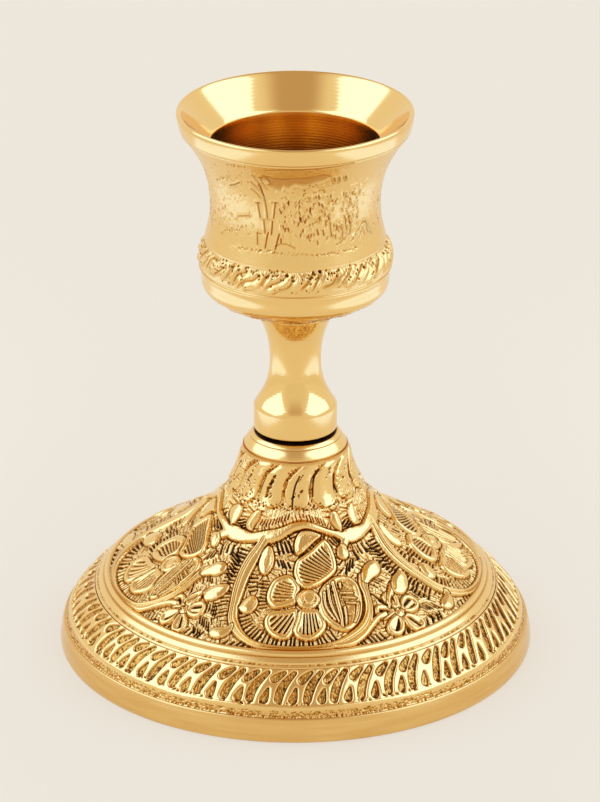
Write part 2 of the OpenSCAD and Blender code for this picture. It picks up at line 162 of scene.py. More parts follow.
class Turned:
    """A turned skin: rings of points round the axis, each ring joined to the one before."""

    def __init__(self):
        self.points = []
        self.quads = []
        self.tris = []
        self.marks = {"patina_and_shade": [], "matte": []}
        self.total = 0
        self.rings = []
        self.creases = []

    def ring(self, radius, height, count, patina_and_shade=0.0, matte=0.0):
        """Adds a ring in mm; radius, height and marks are one number or one for each point."""
        turn = turns(count)
        radius, height, patina_and_shade, matte = (
            np.broadcast_to(np.asarray(value, float), (count,)) for value in (radius, height, patina_and_shade, matte))
        self.points.append(np.column_stack([radius * np.sin(turn), -radius * np.cos(turn), height]))
        self.marks["patina_and_shade"].append(patina_and_shade)
        self.marks["matte"].append(matte)
        self.rings.append((self.total, count))
        self.total += count
        if len(self.rings) > 1:
            self.join(self.rings[-2], self.rings[-1])

    def raised(self, spot, height, count, patina_and_shade=0.0, matte=0.0):
        """Adds a ring that stands off a spot, a point with its normal, by a height."""
        (r, z), (nr, nz) = spot
        self.ring(r + height * nr, z + height * nz, count, patina_and_shade, matte)

    def crease(self):
        """Marks the last ring as a sharp edge."""
        self.creases.append(self.rings[-1])

    def line(self, profile, count, patina_and_shade=0.0, matte=0.0):
        """Adds plain rings along a profile."""
        for r, z in profile:
            self.ring(r, z, count, patina_and_shade, matte)

    def join(self, low, high):
        """Faces between two rings of equal size, or of which one is a point or twice the other."""
        (a, n), (b, m) = low, high
        few = np.arange(min(n, m))
        after = (few + 1) % min(n, m)
        if n == m:
            self.quads.append(np.column_stack([a + few, a + after, b + after, b + few]))
        elif m == 1:
            j = np.arange(n)
            self.tris.append(np.column_stack([a + j, a + (j + 1) % n, np.full(n, b)]))
        elif n == 1:
            j = np.arange(m)
            self.tris.append(np.column_stack([np.full(m, a), b + (j + 1) % m, b + j]))
        elif n == 2 * m:
            f, g, h = 2 * few, 2 * few + 1, (2 * few + 2) % n
            self.tris += [np.column_stack([a + f, a + g, b + few]),
                          np.column_stack([a + g, b + after, b + few]),
                          np.column_stack([a + g, a + h, b + after])]
        elif m == 2 * n:
            f, g, h = 2 * few, 2 * few + 1, (2 * few + 2) % m
            self.tris += [np.column_stack([a + few, b + g, b + f]),
                          np.column_stack([a + few, a + after, b + g]),
                          np.column_stack([a + after, b + h, b + g])]
        else:
            raise ValueError(f"rings of {n} and {m} points do not join")

    def close(self):
        """Joins the last ring to the first."""
        self.join(self.rings[-1], self.rings[0])

    def build(self, name):
        """Makes the mesh object, smooth, with its marks as point attributes."""
        points = np.vstack(self.points) * MM
        quads = np.vstack(self.quads) if self.quads else np.zeros((0, 4), int)
        tris = np.vstack(self.tris) if self.tris else np.zeros((0, 3), int)
        mesh = bpy.data.meshes.new(name)
        mesh.vertices.add(len(points))
        mesh.vertices.foreach_set("co", points.astype(np.float32).ravel())
        loops = np.concatenate([quads.ravel(), tris.ravel()]).astype(np.int32)
        mesh.loops.add(len(loops))
        mesh.loops.foreach_set("vertex_index", loops)
        starts = np.concatenate([np.arange(len(quads)) * 4, len(quads) * 4 + np.arange(len(tris)) * 3])
        mesh.polygons.add(len(starts))
        mesh.polygons.foreach_set("loop_start", starts.astype(np.int32))
        mesh.update(calc_edges=True)
        mesh.validate()
        for mark, values in self.marks.items():
            layer = mesh.attributes.new(mark, "FLOAT", "POINT")
            layer.data.foreach_set("value", np.concatenate(values).astype(np.float32))
        mesh.shade_smooth()
        if self.creases:
            ends = np.zeros(len(mesh.edges) * 2, np.int32)
            mesh.edges.foreach_get("vertices", ends)
            ends = ends.reshape(-1, 2)
            sharp = np.zeros(len(ends), bool)
            for start, count in self.creases:
                sharp |= np.all((ends >= start) & (ends < start + count), axis=1)
            edges = mesh.attributes.new("sharp_edge", "BOOLEAN", "EDGE")
            edges.data.foreach_set("value", sharp)
        piece = bpy.data.objects.new(name, mesh)
        bpy.context.scene.collection.objects.link(piece)
        return piece


# Chased ornament as height maps

def ease(x, low, high):
    """Rises smoothly from 0 at low to 1 at high."""
    t = np.clip((x - low) / (high - low), 0.0, 1.0)
    return t * t * (3.0 - 2.0 * t)


def hump(x, middle, width):
    """A bell-shaped hump of height 1."""
    return np.exp(-((x - middle) / width) ** 2)


def spline(points, step=6, closed=False):
    """Points on a smooth curve through the given ones."""
    p = np.asarray(points, float)
    if closed:
        q = np.vstack([p[-1], p, p[0], p[1]])
    else:
        q = np.vstack([2 * p[0] - p[1], p, 2 * p[-1] - p[-2]])
    out = []
    for i in range(1, len(q) - 2):
        for k in range(step):
            t = k / step
            out.append(0.5 * (
                2 * q[i] + (q[i + 1] - q[i - 1]) * t
                + (2 * q[i - 1] - 5 * q[i] + 4 * q[i + 1] - q[i + 2]) * t ** 2
                + (3 * q[i] - q[i - 1] - 3 * q[i + 1] + q[i + 2]) * t ** 3))
    if not closed:
        out.append(q[-2])
    return np.array(out)


def soft_noise(shape, cells, rng):
    """Smooth noise between -1 and 1 that meets itself across the columns."""
    rows, cols = cells
    grid = rng.uniform(-1.0, 1.0, (rows + 2, cols))
    y = np.linspace(0.0, rows, shape[0])
    x = np.linspace(0.0, cols, shape[1], endpoint=False)
    y0, x0 = y.astype(int), x.astype(int)
    fy, fx = ease(y - y0, 0.0, 1.0)[:, None], ease(x - x0, 0.0, 1.0)[None, :]
    low = grid[y0][:, x0 % cols] * (1 - fx) + grid[y0][:, (x0 + 1) % cols] * fx
    high = grid[y0 + 1][:, x0 % cols] * (1 - fx) + grid[y0 + 1][:, (x0 + 1) % cols] * fx
    return low * (1 - fy) + high * fy


def blur(values, cells):
    """Box blur, three times, that meets itself across the columns."""
    out = values
    for _ in range(3):
        wide = np.concatenate([out[:, -cells:], out, out[:, :cells]], axis=1)
        total = np.cumsum(np.pad(wide, ((0, 0), (1, 0))), axis=1)
        out = (total[:, 2 * cells + 1:] - total[:, :-2 * cells - 1]) / (2 * cells + 1)
        tall = np.pad(out, ((cells, cells), (0, 0)), mode="edge")
        total = np.cumsum(np.pad(tall, ((1, 0), (0, 0))), axis=0)
        out = (total[2 * cells + 1:] - total[:-2 * cells - 1]) / (2 * cells + 1)
    return out


class Sheet:
    """A height map in mm: degrees round the axis across, mm along the profile up."""

    def __init__(self, period, low, high, place, step, ground):
        self.period = period
        self.low = low
        self.step = step
        self.up = np.arange(low, high + step, step)
        radius = place(self.up)[0][0]
        self.count = int(round(period * math.pi / 180 * float(np.max(radius)) / step))
        self.deg = np.arange(self.count) * period / self.count
        self.scale = np.radians(1.0) * radius
        self.height = np.full((len(self.up), self.count), ground)
        self.polish = np.zeros_like(self.height)
        # Darkness of dirt in the cuts, with painted shade in a few places.
        self.ink_and_shade = np.zeros_like(self.height)

    def window(self, path, room):
        """Rows and columns of the cells near a path, with their degrees, mm up and mm to the degree."""
        (d0, u0), (d1, u1) = path[:, :2].min(axis=0), path[:, :2].max(axis=0)
        i0 = max(0, int((u0 - room - self.low) / self.step))
        i1 = min(len(self.up), int((u1 + room - self.low) / self.step) + 2)
        if i1 <= i0:
            return None
        side = room / self.scale[i0:i1].min()
        per = self.count / self.period
        cols = np.arange(math.floor((d0 - side) * per), math.ceil((d1 + side) * per) + 1)
        rows = np.arange(i0, i1)
        return rows, cols, cols[None, :] / per, self.up[i0:i1][:, None], self.scale[i0:i1][:, None]

    def along(self, path, room):
        """The cells near a path: distance to it, place of the nearest point, side of the path."""
        path = np.asarray(path, float)
        win = self.window(path, room)
        if win is None:
            return None
        rows, cols, d, u, sc = win
        best = np.full((len(rows), len(cols)), 1e9)
        place = np.zeros_like(best)
        side = np.zeros_like(best)
        for k in range(len(path) - 1):
            (d0, u0), (d1, u1) = path[k, :2], path[k + 1, :2]
            ex, ey = (d1 - d0) * sc, u1 - u0 + 0 * sc
            px, py = (d - d0) * sc, u - u0 + 0 * d
            span = np.maximum(ex * ex + ey * ey, 1e-9)
            t = np.clip((px * ex + py * ey) / span, 0.0, 1.0)
            qx, qy = px - t * ex, py - t * ey
            dist = np.sqrt(qx * qx + qy * qy)
            near = dist < best
            best = np.where(near, dist, best)
            place = np.where(near, k + t, place)
            side = np.where(near, np.sign(ex * qy - ey * qx), side)
        return np.ix_(rows, cols % self.count), best, place, side

    def inside(self, outline, room):
        """The cells near a closed outline: distance from it, positive within, degrees and mm up."""
        ring = np.vstack([outline, outline[:1]])
        at, dist = self.along(ring, room)[:2]
        d, u = self.window(ring, room)[2:4]
        hit = np.zeros(dist.shape, bool)
        for (d0, u0), (d1, u1) in zip(ring[:-1], ring[1:]):
            if u0 == u1:
                continue
            cross = d0 + (u - u0) / (u1 - u0) * (d1 - d0)
            hit ^= ((u0 > u) != (u1 > u)) & (d < cross)
        return at, np.where(hit, dist, -dist), d, u

    def scale_at(self, up):
        """Millimetres to the degree at a place up."""
        return np.interp(up, self.up, self.scale)

    def circle(self, spot, radius, turn):
        """Points of a circle in mm round a spot."""
        sc = self.scale_at(spot[1])
        return np.column_stack([spot[0] + radius * np.cos(turn) / sc, spot[1] + radius * np.sin(turn)])

    def walked(self, fine):
        """Distance in mm of each point of a path from its start."""
        sc = self.scale_at(fine[:, 1])
        steps = np.hypot(np.diff(fine[:, 0]) * sc[1:], np.diff(fine[:, 1]))
        return np.concatenate([[0.0], np.cumsum(steps)])

    def darken(self, at, ink_and_shade):
        """Darkens the cells at least as far as given."""
        self.ink_and_shade[at] = np.maximum(self.ink_and_shade[at], ink_and_shade)

    def sink(self, at, cut, dull=0.0, ink_and_shade=0.0):
        """Cuts into the cells, dulls their polish and darkens them."""
        self.height[at] -= cut
        self.polish[at] *= 1 - dull
        self.darken(at, ink_and_shade)

    def lift(self, at, depth, body, edge):
        """Brings the cells within an outline to the heights of a body; gives the body's share of each."""
        share = ease(depth, -0.04, edge)
        self.height[at] += (body - self.height[at]) * share
        return share

    def outline(self, at, depth, cut=0.3):
        """The chased groove just outside a raised shape; depth is positive within the shape."""
        groove = hump(depth, -0.16, 0.14) * (depth < 0.05)
        self.sink(at, cut * groove, 0.8 * groove, 0.9 * groove)

    def vines(self, strands, top, edge=0.26, dome=0.46):
        """Raised strands that run into each other; each point is degrees, mm up and half the width."""
        found = []
        for points, lines in strands:
            path = spline(points)
            at, dist, place, side = self.along(path, path[:, 2].max() + 1.0)
            half = np.interp(place, np.arange(len(path)), path[:, 2])
            found.append((at, dist, side, half, lines))
        for at, dist, side, half, lines in found:
            self.outline(at, half - dist)
        for at, dist, side, half, lines in found:
            crown = top - dome * (dist / half) ** 2
            share = self.lift(at, half - dist, np.maximum(self.height[at], crown), edge)
            self.polish[at] = np.maximum(self.polish[at], ease(half - dist, 0.0, edge))
            self.ink_and_shade[at] *= 1 - share
            for off in lines:
                line = hump(dist * side, off * half, 0.14) * (dist < half - 0.15)
                self.sink(at, 0.2 * line, 0.0, 0.5 * line)

    def leaf(self, points, top, dome=0.42, rim=0.0, cut=0.3):
        """A raised plain leaf, with an optional raised edge."""
        at, depth = self.inside(spline(points, closed=True), 1.2)[:2]
        self.outline(at, depth, cut)
        body = top - dome * (1 - ease(depth, 0.0, 1.5)) + rim * hump(depth, 0.55, 0.35)
        share = self.lift(at, depth, body, 0.22)
        self.polish[at] = np.maximum(self.polish[at], share)
        self.ink_and_shade[at] *= 1 - share

    def petal(self, points, top, focus, ribs, cut, ink_and_shade, rim):
        """A petal with a broad round rim, a sunk middle and slots that run towards a focus point."""
        at, depth, d, u = self.inside(spline(points, closed=True), 1.2)
        self.outline(at, depth)
        turn = np.arctan2(u - focus[1] + 0 * d, (d - focus[0]) * self.scale[at[0]])
        rib = np.cos(turn * ribs + 0.5 * np.sin(5 * turn))
        slots = ease(rib, 0.05, 0.55) * ease(depth, rim, rim + 0.3)
        crown = top - 0.36 * (1 - hump(depth, 0.62 * rim, 0.52 * rim))
        share = self.lift(at, depth, crown - cut * slots, 0.26)
        shine = share * (1 - slots) * (1 - 0.25 * ease(depth, rim, rim + 0.6))
        self.polish[at] = np.where(depth > -0.05, shine, self.polish[at])
        self.ink_and_shade[at] = np.where(depth > -0.05, ink_and_shade * slots, self.ink_and_shade[at])

    def ball(self, spot, radius, top, dome=0.5):
        """A round boss."""
        self.leaf(self.circle(spot, radius, np.linspace(0, 2 * math.pi, 16, endpoint=False)), top, dome)

    def ring_groove(self, spot, radius, half, depth):
        """A round groove."""
        at, dist = self.along(self.circle(spot, radius, np.linspace(0, 2 * math.pi, 25)), half + 0.4)[:2]
        cut = ease(half - dist, -0.1, 0.25)
        self.sink(at, depth * cut, 0.9 * cut)

    def slot(self, a, b, half, depth, ink_and_shade=1.0):
        """A short dark cut with round ends and a burr beside it, on the ground only."""
        near = self.along([a, b], half + 0.6)
        if near is None:
            return
        at, dist, place = near[:3]
        taper = half * (1.12 - 0.35 * place)
        free = 1 - ease(self.polish[at], 0.15, 0.4)
        cut = ease(taper - dist, -0.06, 0.1) * free
        self.sink(at, depth * cut, 0.0, ink_and_shade * cut)
        self.height[at] += 0.1 * (hump(dist - taper, 0.2, 0.15) * free)

    def fill(self, tries, length, gap, half, depth, rng, taken):
        """Chases the free ground with short cuts that stand square to the raised shapes."""
        grade_u, grade_d = np.gradient(blur(self.polish, 9))
        spots = list(taken)
        for _ in range(tries):
            d = rng.uniform(0, self.period)
            u = rng.uniform(self.up[0] + 0.6, self.up[-1] - 0.4)
            i = int((u - self.low) / self.step)
            j = int(d * self.count / self.period) % self.count
            if self.polish[i, j] > 0.1:
                continue
            sc = self.scale[i]
            gd, gu = grade_d[i, j] * self.scale.max() / sc, grade_u[i, j]
            size = math.hypot(gd, gu)
            if size < 1e-6:
                continue
            nx, ny = gd / size, gu / size
            if ny < 0:
                nx, ny = -nx, -ny
            close = np.array(spots)
            dx = ((close[:, 0] - d + self.period / 2) % self.period - self.period / 2) * sc
            dy = close[:, 1] - u
            if np.any((np.abs(dx * ny - dy * nx) < gap) & (np.abs(dx * nx + dy * ny) < length * 0.85)):
                continue
            spots.append((d, u))
            reach = length / 2 * rng.uniform(0.75, 1.15)
            turn = rng.uniform(-0.2, 0.2)
            nx, ny = nx * math.cos(turn) - ny * math.sin(turn), nx * math.sin(turn) + ny * math.cos(turn)
            self.slot((d - nx * reach / sc, u - ny * reach), (d + nx * reach / sc, u + ny * reach),
                      half * rng.uniform(0.7, 1.2), depth * rng.uniform(0.7, 1.1), rng.uniform(0.45, 0.95))

    def hatch(self, path, length, pitch, half, lean, depth, rng):
        """Short cuts set along a path, square to it or at a given lean in degrees from upright."""
        fine = spline(path, 12)
        run = self.walked(fine)
        spots = []
        for place in np.arange(pitch / 2, run[-1], pitch):
            place = place + rng.uniform(-0.18, 0.18) * pitch
            d = np.interp(place, run, fine[:, 0])
            u = np.interp(place, run, fine[:, 1])
            sc = self.scale_at(u)
            if lean is None:
                k = min(np.searchsorted(run, place), len(run) - 1)
                nx, ny = fine[k - 1, 1] - fine[k, 1], (fine[k, 0] - fine[k - 1, 0]) * sc
            else:
                nx, ny = math.sin(math.radians(lean)), math.cos(math.radians(lean))
            size = math.hypot(nx, ny)
            reach = length / 2 * rng.uniform(0.8, 1.1)
            nx, ny = nx / size * reach, ny / size * reach
            self.slot((d - nx / sc, u - ny), (d + nx / sc, u + ny), half * rng.uniform(0.85, 1.15), depth)
            spots.append((d, u))
        return spots

    def chase(self, path, half, depth, dull, burr=0.0):
        """A cut line through whatever is there, with a raised burr beside it if asked for."""
        near = self.along(path, half + 0.5)
        if near is None:
            return
        at, dist = near[:2]
        cut = ease(half - dist, -0.14, 0.16)
        self.sink(at, depth * cut, dull * cut, dull * cut)
        self.height[at] += burr * hump(dist - half, 0.2, 0.14)

    def dots(self, path, rng, pitch, half, depth, stray, dull=0.8):
        """A row of punch marks along a path."""
        fine = spline(path, 12) if len(path) > 2 else np.linspace(path[0], path[1], 40)
        run = self.walked(fine)
        sc = self.scale_at(fine[0, 1])
        for place in np.arange(0.0, run[-1], pitch):
            place = place + rng.uniform(-0.3, 0.3) * pitch
            d = np.interp(place, run, fine[:, 0]) + rng.uniform(-stray, stray) / sc
            u = np.interp(place, run, fine[:, 1]) + rng.uniform(-stray, stray)
            size = half * rng.uniform(0.6, 1.2)
            mark = [(d, u), (d + 0.4 * size / sc, u + 0.2 * size)]
            self.chase(mark, size, depth * rng.uniform(0.6, 1.2), dull * rng.uniform(0.6, 1.0))

    def recess(self, outline, depth):
        """Sinks the area inside an outline and takes its polish off."""
        at, inner = self.inside(np.asarray(outline, float), 0.8)[:2]
        cut = ease(inner, -0.1, 0.5)
        self.sink(at, depth * cut, cut)

    def pits(self, box, rng, count, size, depth, limit=0.4, ink_and_shade=0.8):
        """Scattered punch marks where the polish is below a limit."""
        for _ in range(count):
            d = rng.uniform(box[0], box[1])
            u = rng.uniform(box[2], box[3])
            half = rng.uniform(0.5, 1.0) * size
            near = self.along([(d, u), (d + rng.uniform(-0.6, 0.6), u + rng.uniform(-0.2, 0.2))], half + 0.3)
            if near is None:
                continue
            at, dist = near[:2]
            cut = ease(half - dist, -0.1, half) * (self.polish[at] < limit)
            self.sink(at, depth * cut, 0.0, ink_and_shade * cut)

    def sample(self, deg, up, values):
        """Values of a layer at given degrees, all at one place up."""
        x = (deg % self.period) * self.count / self.period
        y = min(max((up - self.low) / self.step, 0), len(self.up) - 1.001)
        x0 = np.floor(x).astype(int)
        y0 = int(y)
        fx, fy = x - x0, y - y0
        a = values[y0, x0 % self.count] * (1 - fx) + values[y0, (x0 + 1) % self.count] * fx
        b = values[y0 + 1, x0 % self.count] * (1 - fx) + values[y0 + 1, (x0 + 1) % self.count] * fx
        return a * (1 - fy) + b * fy


SCROLL_PERIOD = 83.0
VINE_TOP, LEAF_TOP, PETAL_TOP, SMALL_PETAL_TOP = 0.5, 0.52, 0.38, 0.36

# Each strand: points of degrees round the base, mm up the profile and half width in mm; lines cut into it
SCROLL_VINES = [
    ([(-45, 54.7, 1.95), (-38, 54.7, 1.8), (-31, 54.9, 1.35), (-25, 55.4, 1.5), (-19, 55.9, 1.8),
      (-13, 56.6, 1.7), (-7, 57.8, 1.35), (-1, 58.9, 1.15), (5, 59.3, 1.1)], ()),
    ([(-1, 58.9, 1.15), (5, 59.3, 1.1), (11, 59.0, 1.0), (17, 58.1, 0.85), (23, 57.0, 0.8),
      (29, 55.9, 0.95), (34, 54.9, 1.6), (40, 54.7, 2.0)], ()),
    ([(-20.5, 55.2, 1.3), (-22.4, 52.6, 1.5), (-24.6, 49.5, 1.75), (-25.6, 46.3, 1.85), (-25.6, 43.2, 1.75),
      (-25, 40.2, 1.6), (-24.2, 37.3, 1.4), (-23.4, 34.6, 1.3), (-22.4, 32.0, 1.35), (-20.4, 29.6, 1.4),
      (-17.2, 27.2, 1.15), (-13, 25.4, 0.95), (-7, 24.6, 0.8), (0, 24.4, 0.75), (7, 24.6, 0.8),
      (13, 25.3, 1.0), (18, 26.8, 1.3), (22.4, 28.7, 1.4), (26, 31.4, 1.25), (28.4, 34.6, 1.05),
      (29.8, 38.0, 1.0), (30.6, 40.6, 1.25), (33.2, 43.0, 1.5)], (-0.1, -0.45)),
    ([(12.5, 24.5, 0.6), (17.5, 24.9, 0.75), (21.7, 26.5, 0.8), (25.3, 28.7, 0.85), (29, 30.6, 0.85),
      (32.5, 31.3, 0.7)], ()),
    ([(35.5, 32.8, 0.5), (37.5, 35.0, 0.6), (41, 37.0, 0.9), (44, 38.2, 1.2)], ()),
    ([(28, 51.3, 0.9), (31, 52.8, 1.1), (34, 54.2, 1.3)], ()),
]

SCROLL_LEAVES = [
    [(-17.5, 53.6), (-14.5, 53.2), (-12.2, 50.8), (-11.9, 48.5), (-13.5, 46.4), (-15.5, 45.6), (-18, 46.3),
     (-20, 48.5), (-19.8, 51.5)],
    [(-21.8, 35.2), (-20.5, 37.8), (-18.5, 39.3), (-16, 38.9), (-14.8, 37.2), (-15.5, 35.2), (-17.5, 34),
     (-20, 34)],
    [(-21.3, 30.2), (-23.5, 29), (-26.5, 28.4), (-28.3, 27), (-27.5, 25.6), (-25, 25.2), (-22.5, 26.4),
     (-21, 28.3)],
    [(31, 42), (33.5, 44.6), (37.5, 46.2), (42, 46.6), (44.8, 45.6), (44, 43.7), (41, 42.4), (37, 41.9),
     (33, 41)],
    [(41.5, 36.8), (44, 39.3), (48, 40.7), (52.3, 41), (53.2, 39.3), (51, 37), (47.5, 35.4), (44, 35)],
    [(32.5, 56.3), (29, 58), (28, 60), (30, 61.6), (33, 61.8), (35.5, 61), (36, 59), (35, 57)],
    [(46, 57), (44.5, 58.5), (46, 60.5), (50, 62), (53.5, 62), (53.5, 60), (51.5, 58), (51, 56.5)],
    [(24.6, 50.4), (26.4, 52.6), (29.6, 53), (32, 51.6), (31, 49.6), (27.6, 49)],
]

# Each petal: outline, point its ribs run to, ribs in a full turn, depth and ink of its slots, rim width
SCROLL_PETALS = [
    ([(0.8, 38.2), (-3, 37), (-8, 36.2), (-11.3, 37.8), (-12.2, 40.5), (-11, 43.7), (-8, 45.4),
      (-3.5, 46.1), (0, 44.9), (2.2, 42.4), (1.4, 40)], (16, 39.5), 84, 0.5, 0.7, 1.45),
    ([(3, 42.4), (0, 44.7), (-0.9, 47.3), (0.5, 50), (4, 51.3), (9, 52.7), (14.5, 54.5), (19, 55.2),
      (22, 53.6), (22.8, 50.4), (21.8, 47.2), (19, 45.4), (12, 43.2), (7, 42.2)], (29, 40.5),
      74, 0.65, 0.9, 1.25),
    ([(0.5, 36.3), (-4, 35.7), (-8.9, 35.2), (-11, 32.8), (-9.8, 29.6), (-6.4, 27.4), (-2.7, 27.2),
      (-0.5, 29.4), (1.6, 33)], (8, 43), 86, 0.8, 1.0, 1.4),
    ([(1.8, 35.9), (0.6, 33), (-0.7, 29.4), (1, 27.5), (4.2, 26.8), (7.4, 27.6), (10.6, 30.6), (9.8, 34.4),
      (8, 36)], (5.2, 46), 108, 0.8, 1.0, 1.4),
]

# Each guide: path, length of the cuts, pitch, half width, lean in degrees, or none to stand square
SCROLL_HATCH = [
    ([(-19.3, 33.6), (-16.8, 30.8), (-13.2, 28.7), (-9, 27.4), (-3, 26.6), (3, 26.3), (8, 26.7),
      (12.5, 28.2)], 3.0, 1.12, 0.28, None),
    ([(-51, 25.9), (-44, 25.4), (-37, 25.2), (-30, 25.4)], 2.4, 1.7, 0.42, 28),
    ([(-22.5, 24.8), (-18, 24.6), (-13.5, 24.4)], 1.9, 1.5, 0.4, 35),
    ([(19.5, 24.5), (24, 25.2), (29, 25.8)], 2.4, 1.3, 0.3, -20),
    ([(-12, 53.2), (-8, 53.6), (-4, 53.9), (-1, 53.4)], 3.4, 1.05, 0.27, -22),
    ([(-11, 49.6), (-7, 49.2), (-2.5, 48.9)], 1.9, 1.0, 0.26, -25),
    ([(-14, 44.6), (-13.3, 41), (-13.2, 38), (-12, 35.4)], 1.9, 1.0, 0.26, None),
    ([(-20.5, 45), (-19.5, 42.5), (-18, 40.6)], 2.2, 1.2, 0.34, None),
    ([(-16.5, 43.5), (-15.5, 41.5)], 1.6, 1.0, 0.25, None),
    ([(-31.2, 52), (-31.6, 47), (-31, 42), (-30, 38), (-28, 34.5), (-26, 31.5)], 2.3, 1.1, 0.28, None),
    ([(-35.5, 46), (-34.5, 42), (-33, 37), (-31, 33), (-29, 30.5)], 1.8, 1.15, 0.28, None),
    ([(-28, 59.4), (-20, 59.6), (-12, 60.7), (-5, 61.6)], 1.5, 0.8, 0.17, 14),
    ([(8, 61.2), (16, 60.5), (24, 59.2)], 1.5, 0.8, 0.17, -14),
    ([(37, 58.6), (41, 57.8), (45, 56.8)], 2.2, 0.9, 0.24, 62),
    ([(31.5, 38.5), (33.5, 36.5), (34.5, 34.5)], 2.4, 0.95, 0.25, -35),
    ([(35, 39.8), (38, 41), (41.5, 40.8)], 1.7, 1.0, 0.25, -40),
    ([(47.5, 50), (48.5, 46.5), (48.5, 43)], 3.2, 1.05, 0.27, -62),
    ([(46.5, 33.6), (50, 33.2), (53.3, 32.6)], 2.4, 0.95, 0.26, -22),
    ([(47, 29.5), (50, 29), (53, 28.2)], 2.6, 1.0, 0.28, -28),
    ([(46.5, 26.3), (49.5, 26), (52, 25.8)], 2.0, 1.0, 0.28, -28),
    ([(34.5, 49.2), (39, 50.4), (44, 50.6), (50, 50.4)], 2.2, 1.7, 0.42, -6),
    ([(21.5, 53.2), (24.5, 54.4), (28.5, 54.6)], 1.6, 0.9, 0.28, -30),
    ([(26.5, 46.4), (29.5, 47.2), (32.5, 47.8)], 3.0, 1.05, 0.28, 32),
    ([(21, 50.5), (22, 48)], 1.8, 1.0, 0.25, None),
]

# The leaf above the petals, and the big leaf that curls up beside the flower with its ribs and bars
UPPER_LEAF = [(0.2, 51.8), (-0.9, 54), (0.5, 56.3), (4, 57.8), (9, 58), (14, 57.3), (18, 56.2), (13, 54.9),
              (8, 53.3), (4, 51.9)]
CURLED_LEAF = [
    (12, 42.4), (9.6, 40), (8.7, 37), (9.5, 33.6), (11.8, 30.9), (14.5, 29.2), (17.5, 28.6), (20.5, 29.6),
    (23.8, 32.2), (26.4, 35.6), (28, 38.8), (28.4, 41.4), (26.2, 43.8), (22, 44.8), (18, 44.6), (15, 43.7)]
CURLED_RIBS = [
    [(12.4, 40.4, 0.34), (11.9, 36.5, 0.36), (14.2, 32.2, 0.3)],
    [(14.6, 42.2, 0.36), (14.0, 37.5, 0.4), (15.3, 31.6, 0.3)],
    [(17.2, 43.0, 0.4), (16.9, 38, 0.55), (16.6, 33.5, 0.5), (16.0, 30.2, 0.35)],
    [(19.0, 35.6, 0.36), (18.4, 33.0, 0.34), (17.6, 30.8, 0.28)],
    [(24.6, 36.0, 0.34), (22.6, 33.0, 0.34), (20.6, 30.8, 0.26)],
    [(19.4, 39.9, 0.3), (21.8, 39.6, 0.34), (24.2, 39.2, 0.28)],
    [(19.6, 38.5, 0.3), (22.2, 38.1, 0.34), (24.6, 37.6, 0.28)],
    [(20.2, 36.9, 0.28), (22.6, 36.4, 0.32), (24.4, 36.0, 0.26)],
    [(20.4, 42.6, 0.4), (20, 41.4, 0.34)],
]


def scroll_sheet(place, low, high, seed):
    """One repeat of the floral scroll that runs round the base."""
    rng = np.random.default_rng(seed)
    sheet = Sheet(SCROLL_PERIOD, low, high, place, step=0.09, ground=-0.4)
    shape = sheet.height.shape
    sheet.height += 0.06 * soft_noise(shape, (60, 110), rng) + 0.05 * soft_noise(shape, (130, 230), rng)
    small_flower(sheet, (38.0, 30.3))
    for points, *slots in SCROLL_PETALS:
        sheet.petal(points, PETAL_TOP, *slots)
    curled_leaf(sheet, rng)
    sheet.leaf(UPPER_LEAF, top=0.2, dome=0.0, rim=0.26)
    sheet.ball((5.2, 39.0), radius=2.9, top=0.4, dome=0.3)
    sheet.ring_groove((5.7, 39.1), radius=1.6, half=0.3, depth=0.5)
    sheet.vines(SCROLL_VINES, VINE_TOP)
    for points in SCROLL_LEAVES:
        sheet.leaf(points, LEAF_TOP, cut=0.2)
    taken = []
    for guide in SCROLL_HATCH:
        taken += sheet.hatch(*guide, depth=0.5, rng=rng)
    sheet.fill(tries=8500, length=2.0, gap=0.8, half=0.17, depth=0.46, rng=rng, taken=taken)
    sheet.pits((0, SCROLL_PERIOD, low + 1, high), rng, count=300, size=0.24, depth=0.22, limit=0.3)
    sheet.ink_and_shade *= 1 - 0.5 * (ease(sheet.up, 57.6, 60.0)[:, None]) * (1 - sheet.polish)
    sheet.height += 0.016 * soft_noise(shape, (80, 145), rng)
    return sheet


def curled_leaf(sheet, rng):
    """The big leaf that curls up beside the flower, ribbed on its left half and barred on its right."""
    at, depth = sheet.inside(spline(CURLED_LEAF, closed=True), 1.2)[:2]
    sheet.outline(at, depth)
    inner = ease(depth, 1.5, 1.75)
    share = sheet.lift(at, depth, 0.06 + 0.4 * hump(depth, 0.85, 0.62) - 0.06 * inner, 0.26)
    sheet.polish[at] = np.where(depth > -0.05, share * (1 - 0.75 * inner), sheet.polish[at])
    sheet.ink_and_shade[at] = np.where(depth > -0.05, 0.25 * inner, sheet.ink_and_shade[at])
    sheet.vines([(rib, ()) for rib in CURLED_RIBS], top=0.3, edge=0.2, dome=0.1)
    sheet.pits((18, 26, 40.4, 42.8), rng, count=16, size=0.26, depth=0.3, limit=0.45)


def small_flower(sheet, spot):
    """Five petals with cupped middles round an eye."""
    sc = sheet.scale_at(spot[1])
    petals = ((18, 3.5, 2.5), (88, 3.0, 2.3), (158, 3.0, 2.2), (226, 3.5, 2.2), (296, 3.4, 2.3))
    for turn, long, wide in petals:
        a = math.radians(turn)
        ring = []
        for k in range(16):
            b = 2 * math.pi * k / 16
            x, y = 3.9 + long * math.cos(b), wide * (1.0 + 0.3 * math.cos(b)) * math.sin(b)
            ring.append((spot[0] + (x * math.cos(a) - y * math.sin(a)) / sc,
                         spot[1] + x * math.sin(a) + y * math.cos(a)))
        focus = (spot[0] - 5 * math.cos(a) / sc, spot[1] - 5 * math.sin(a))
        sheet.petal(ring, SMALL_PETAL_TOP, focus, ribs=30, cut=0.45, ink_and_shade=0.95, rim=1.15)
    sheet.ball(spot, radius=1.25, top=0.42)


FLUTES, FLUTES_DRAWN = 51, 17


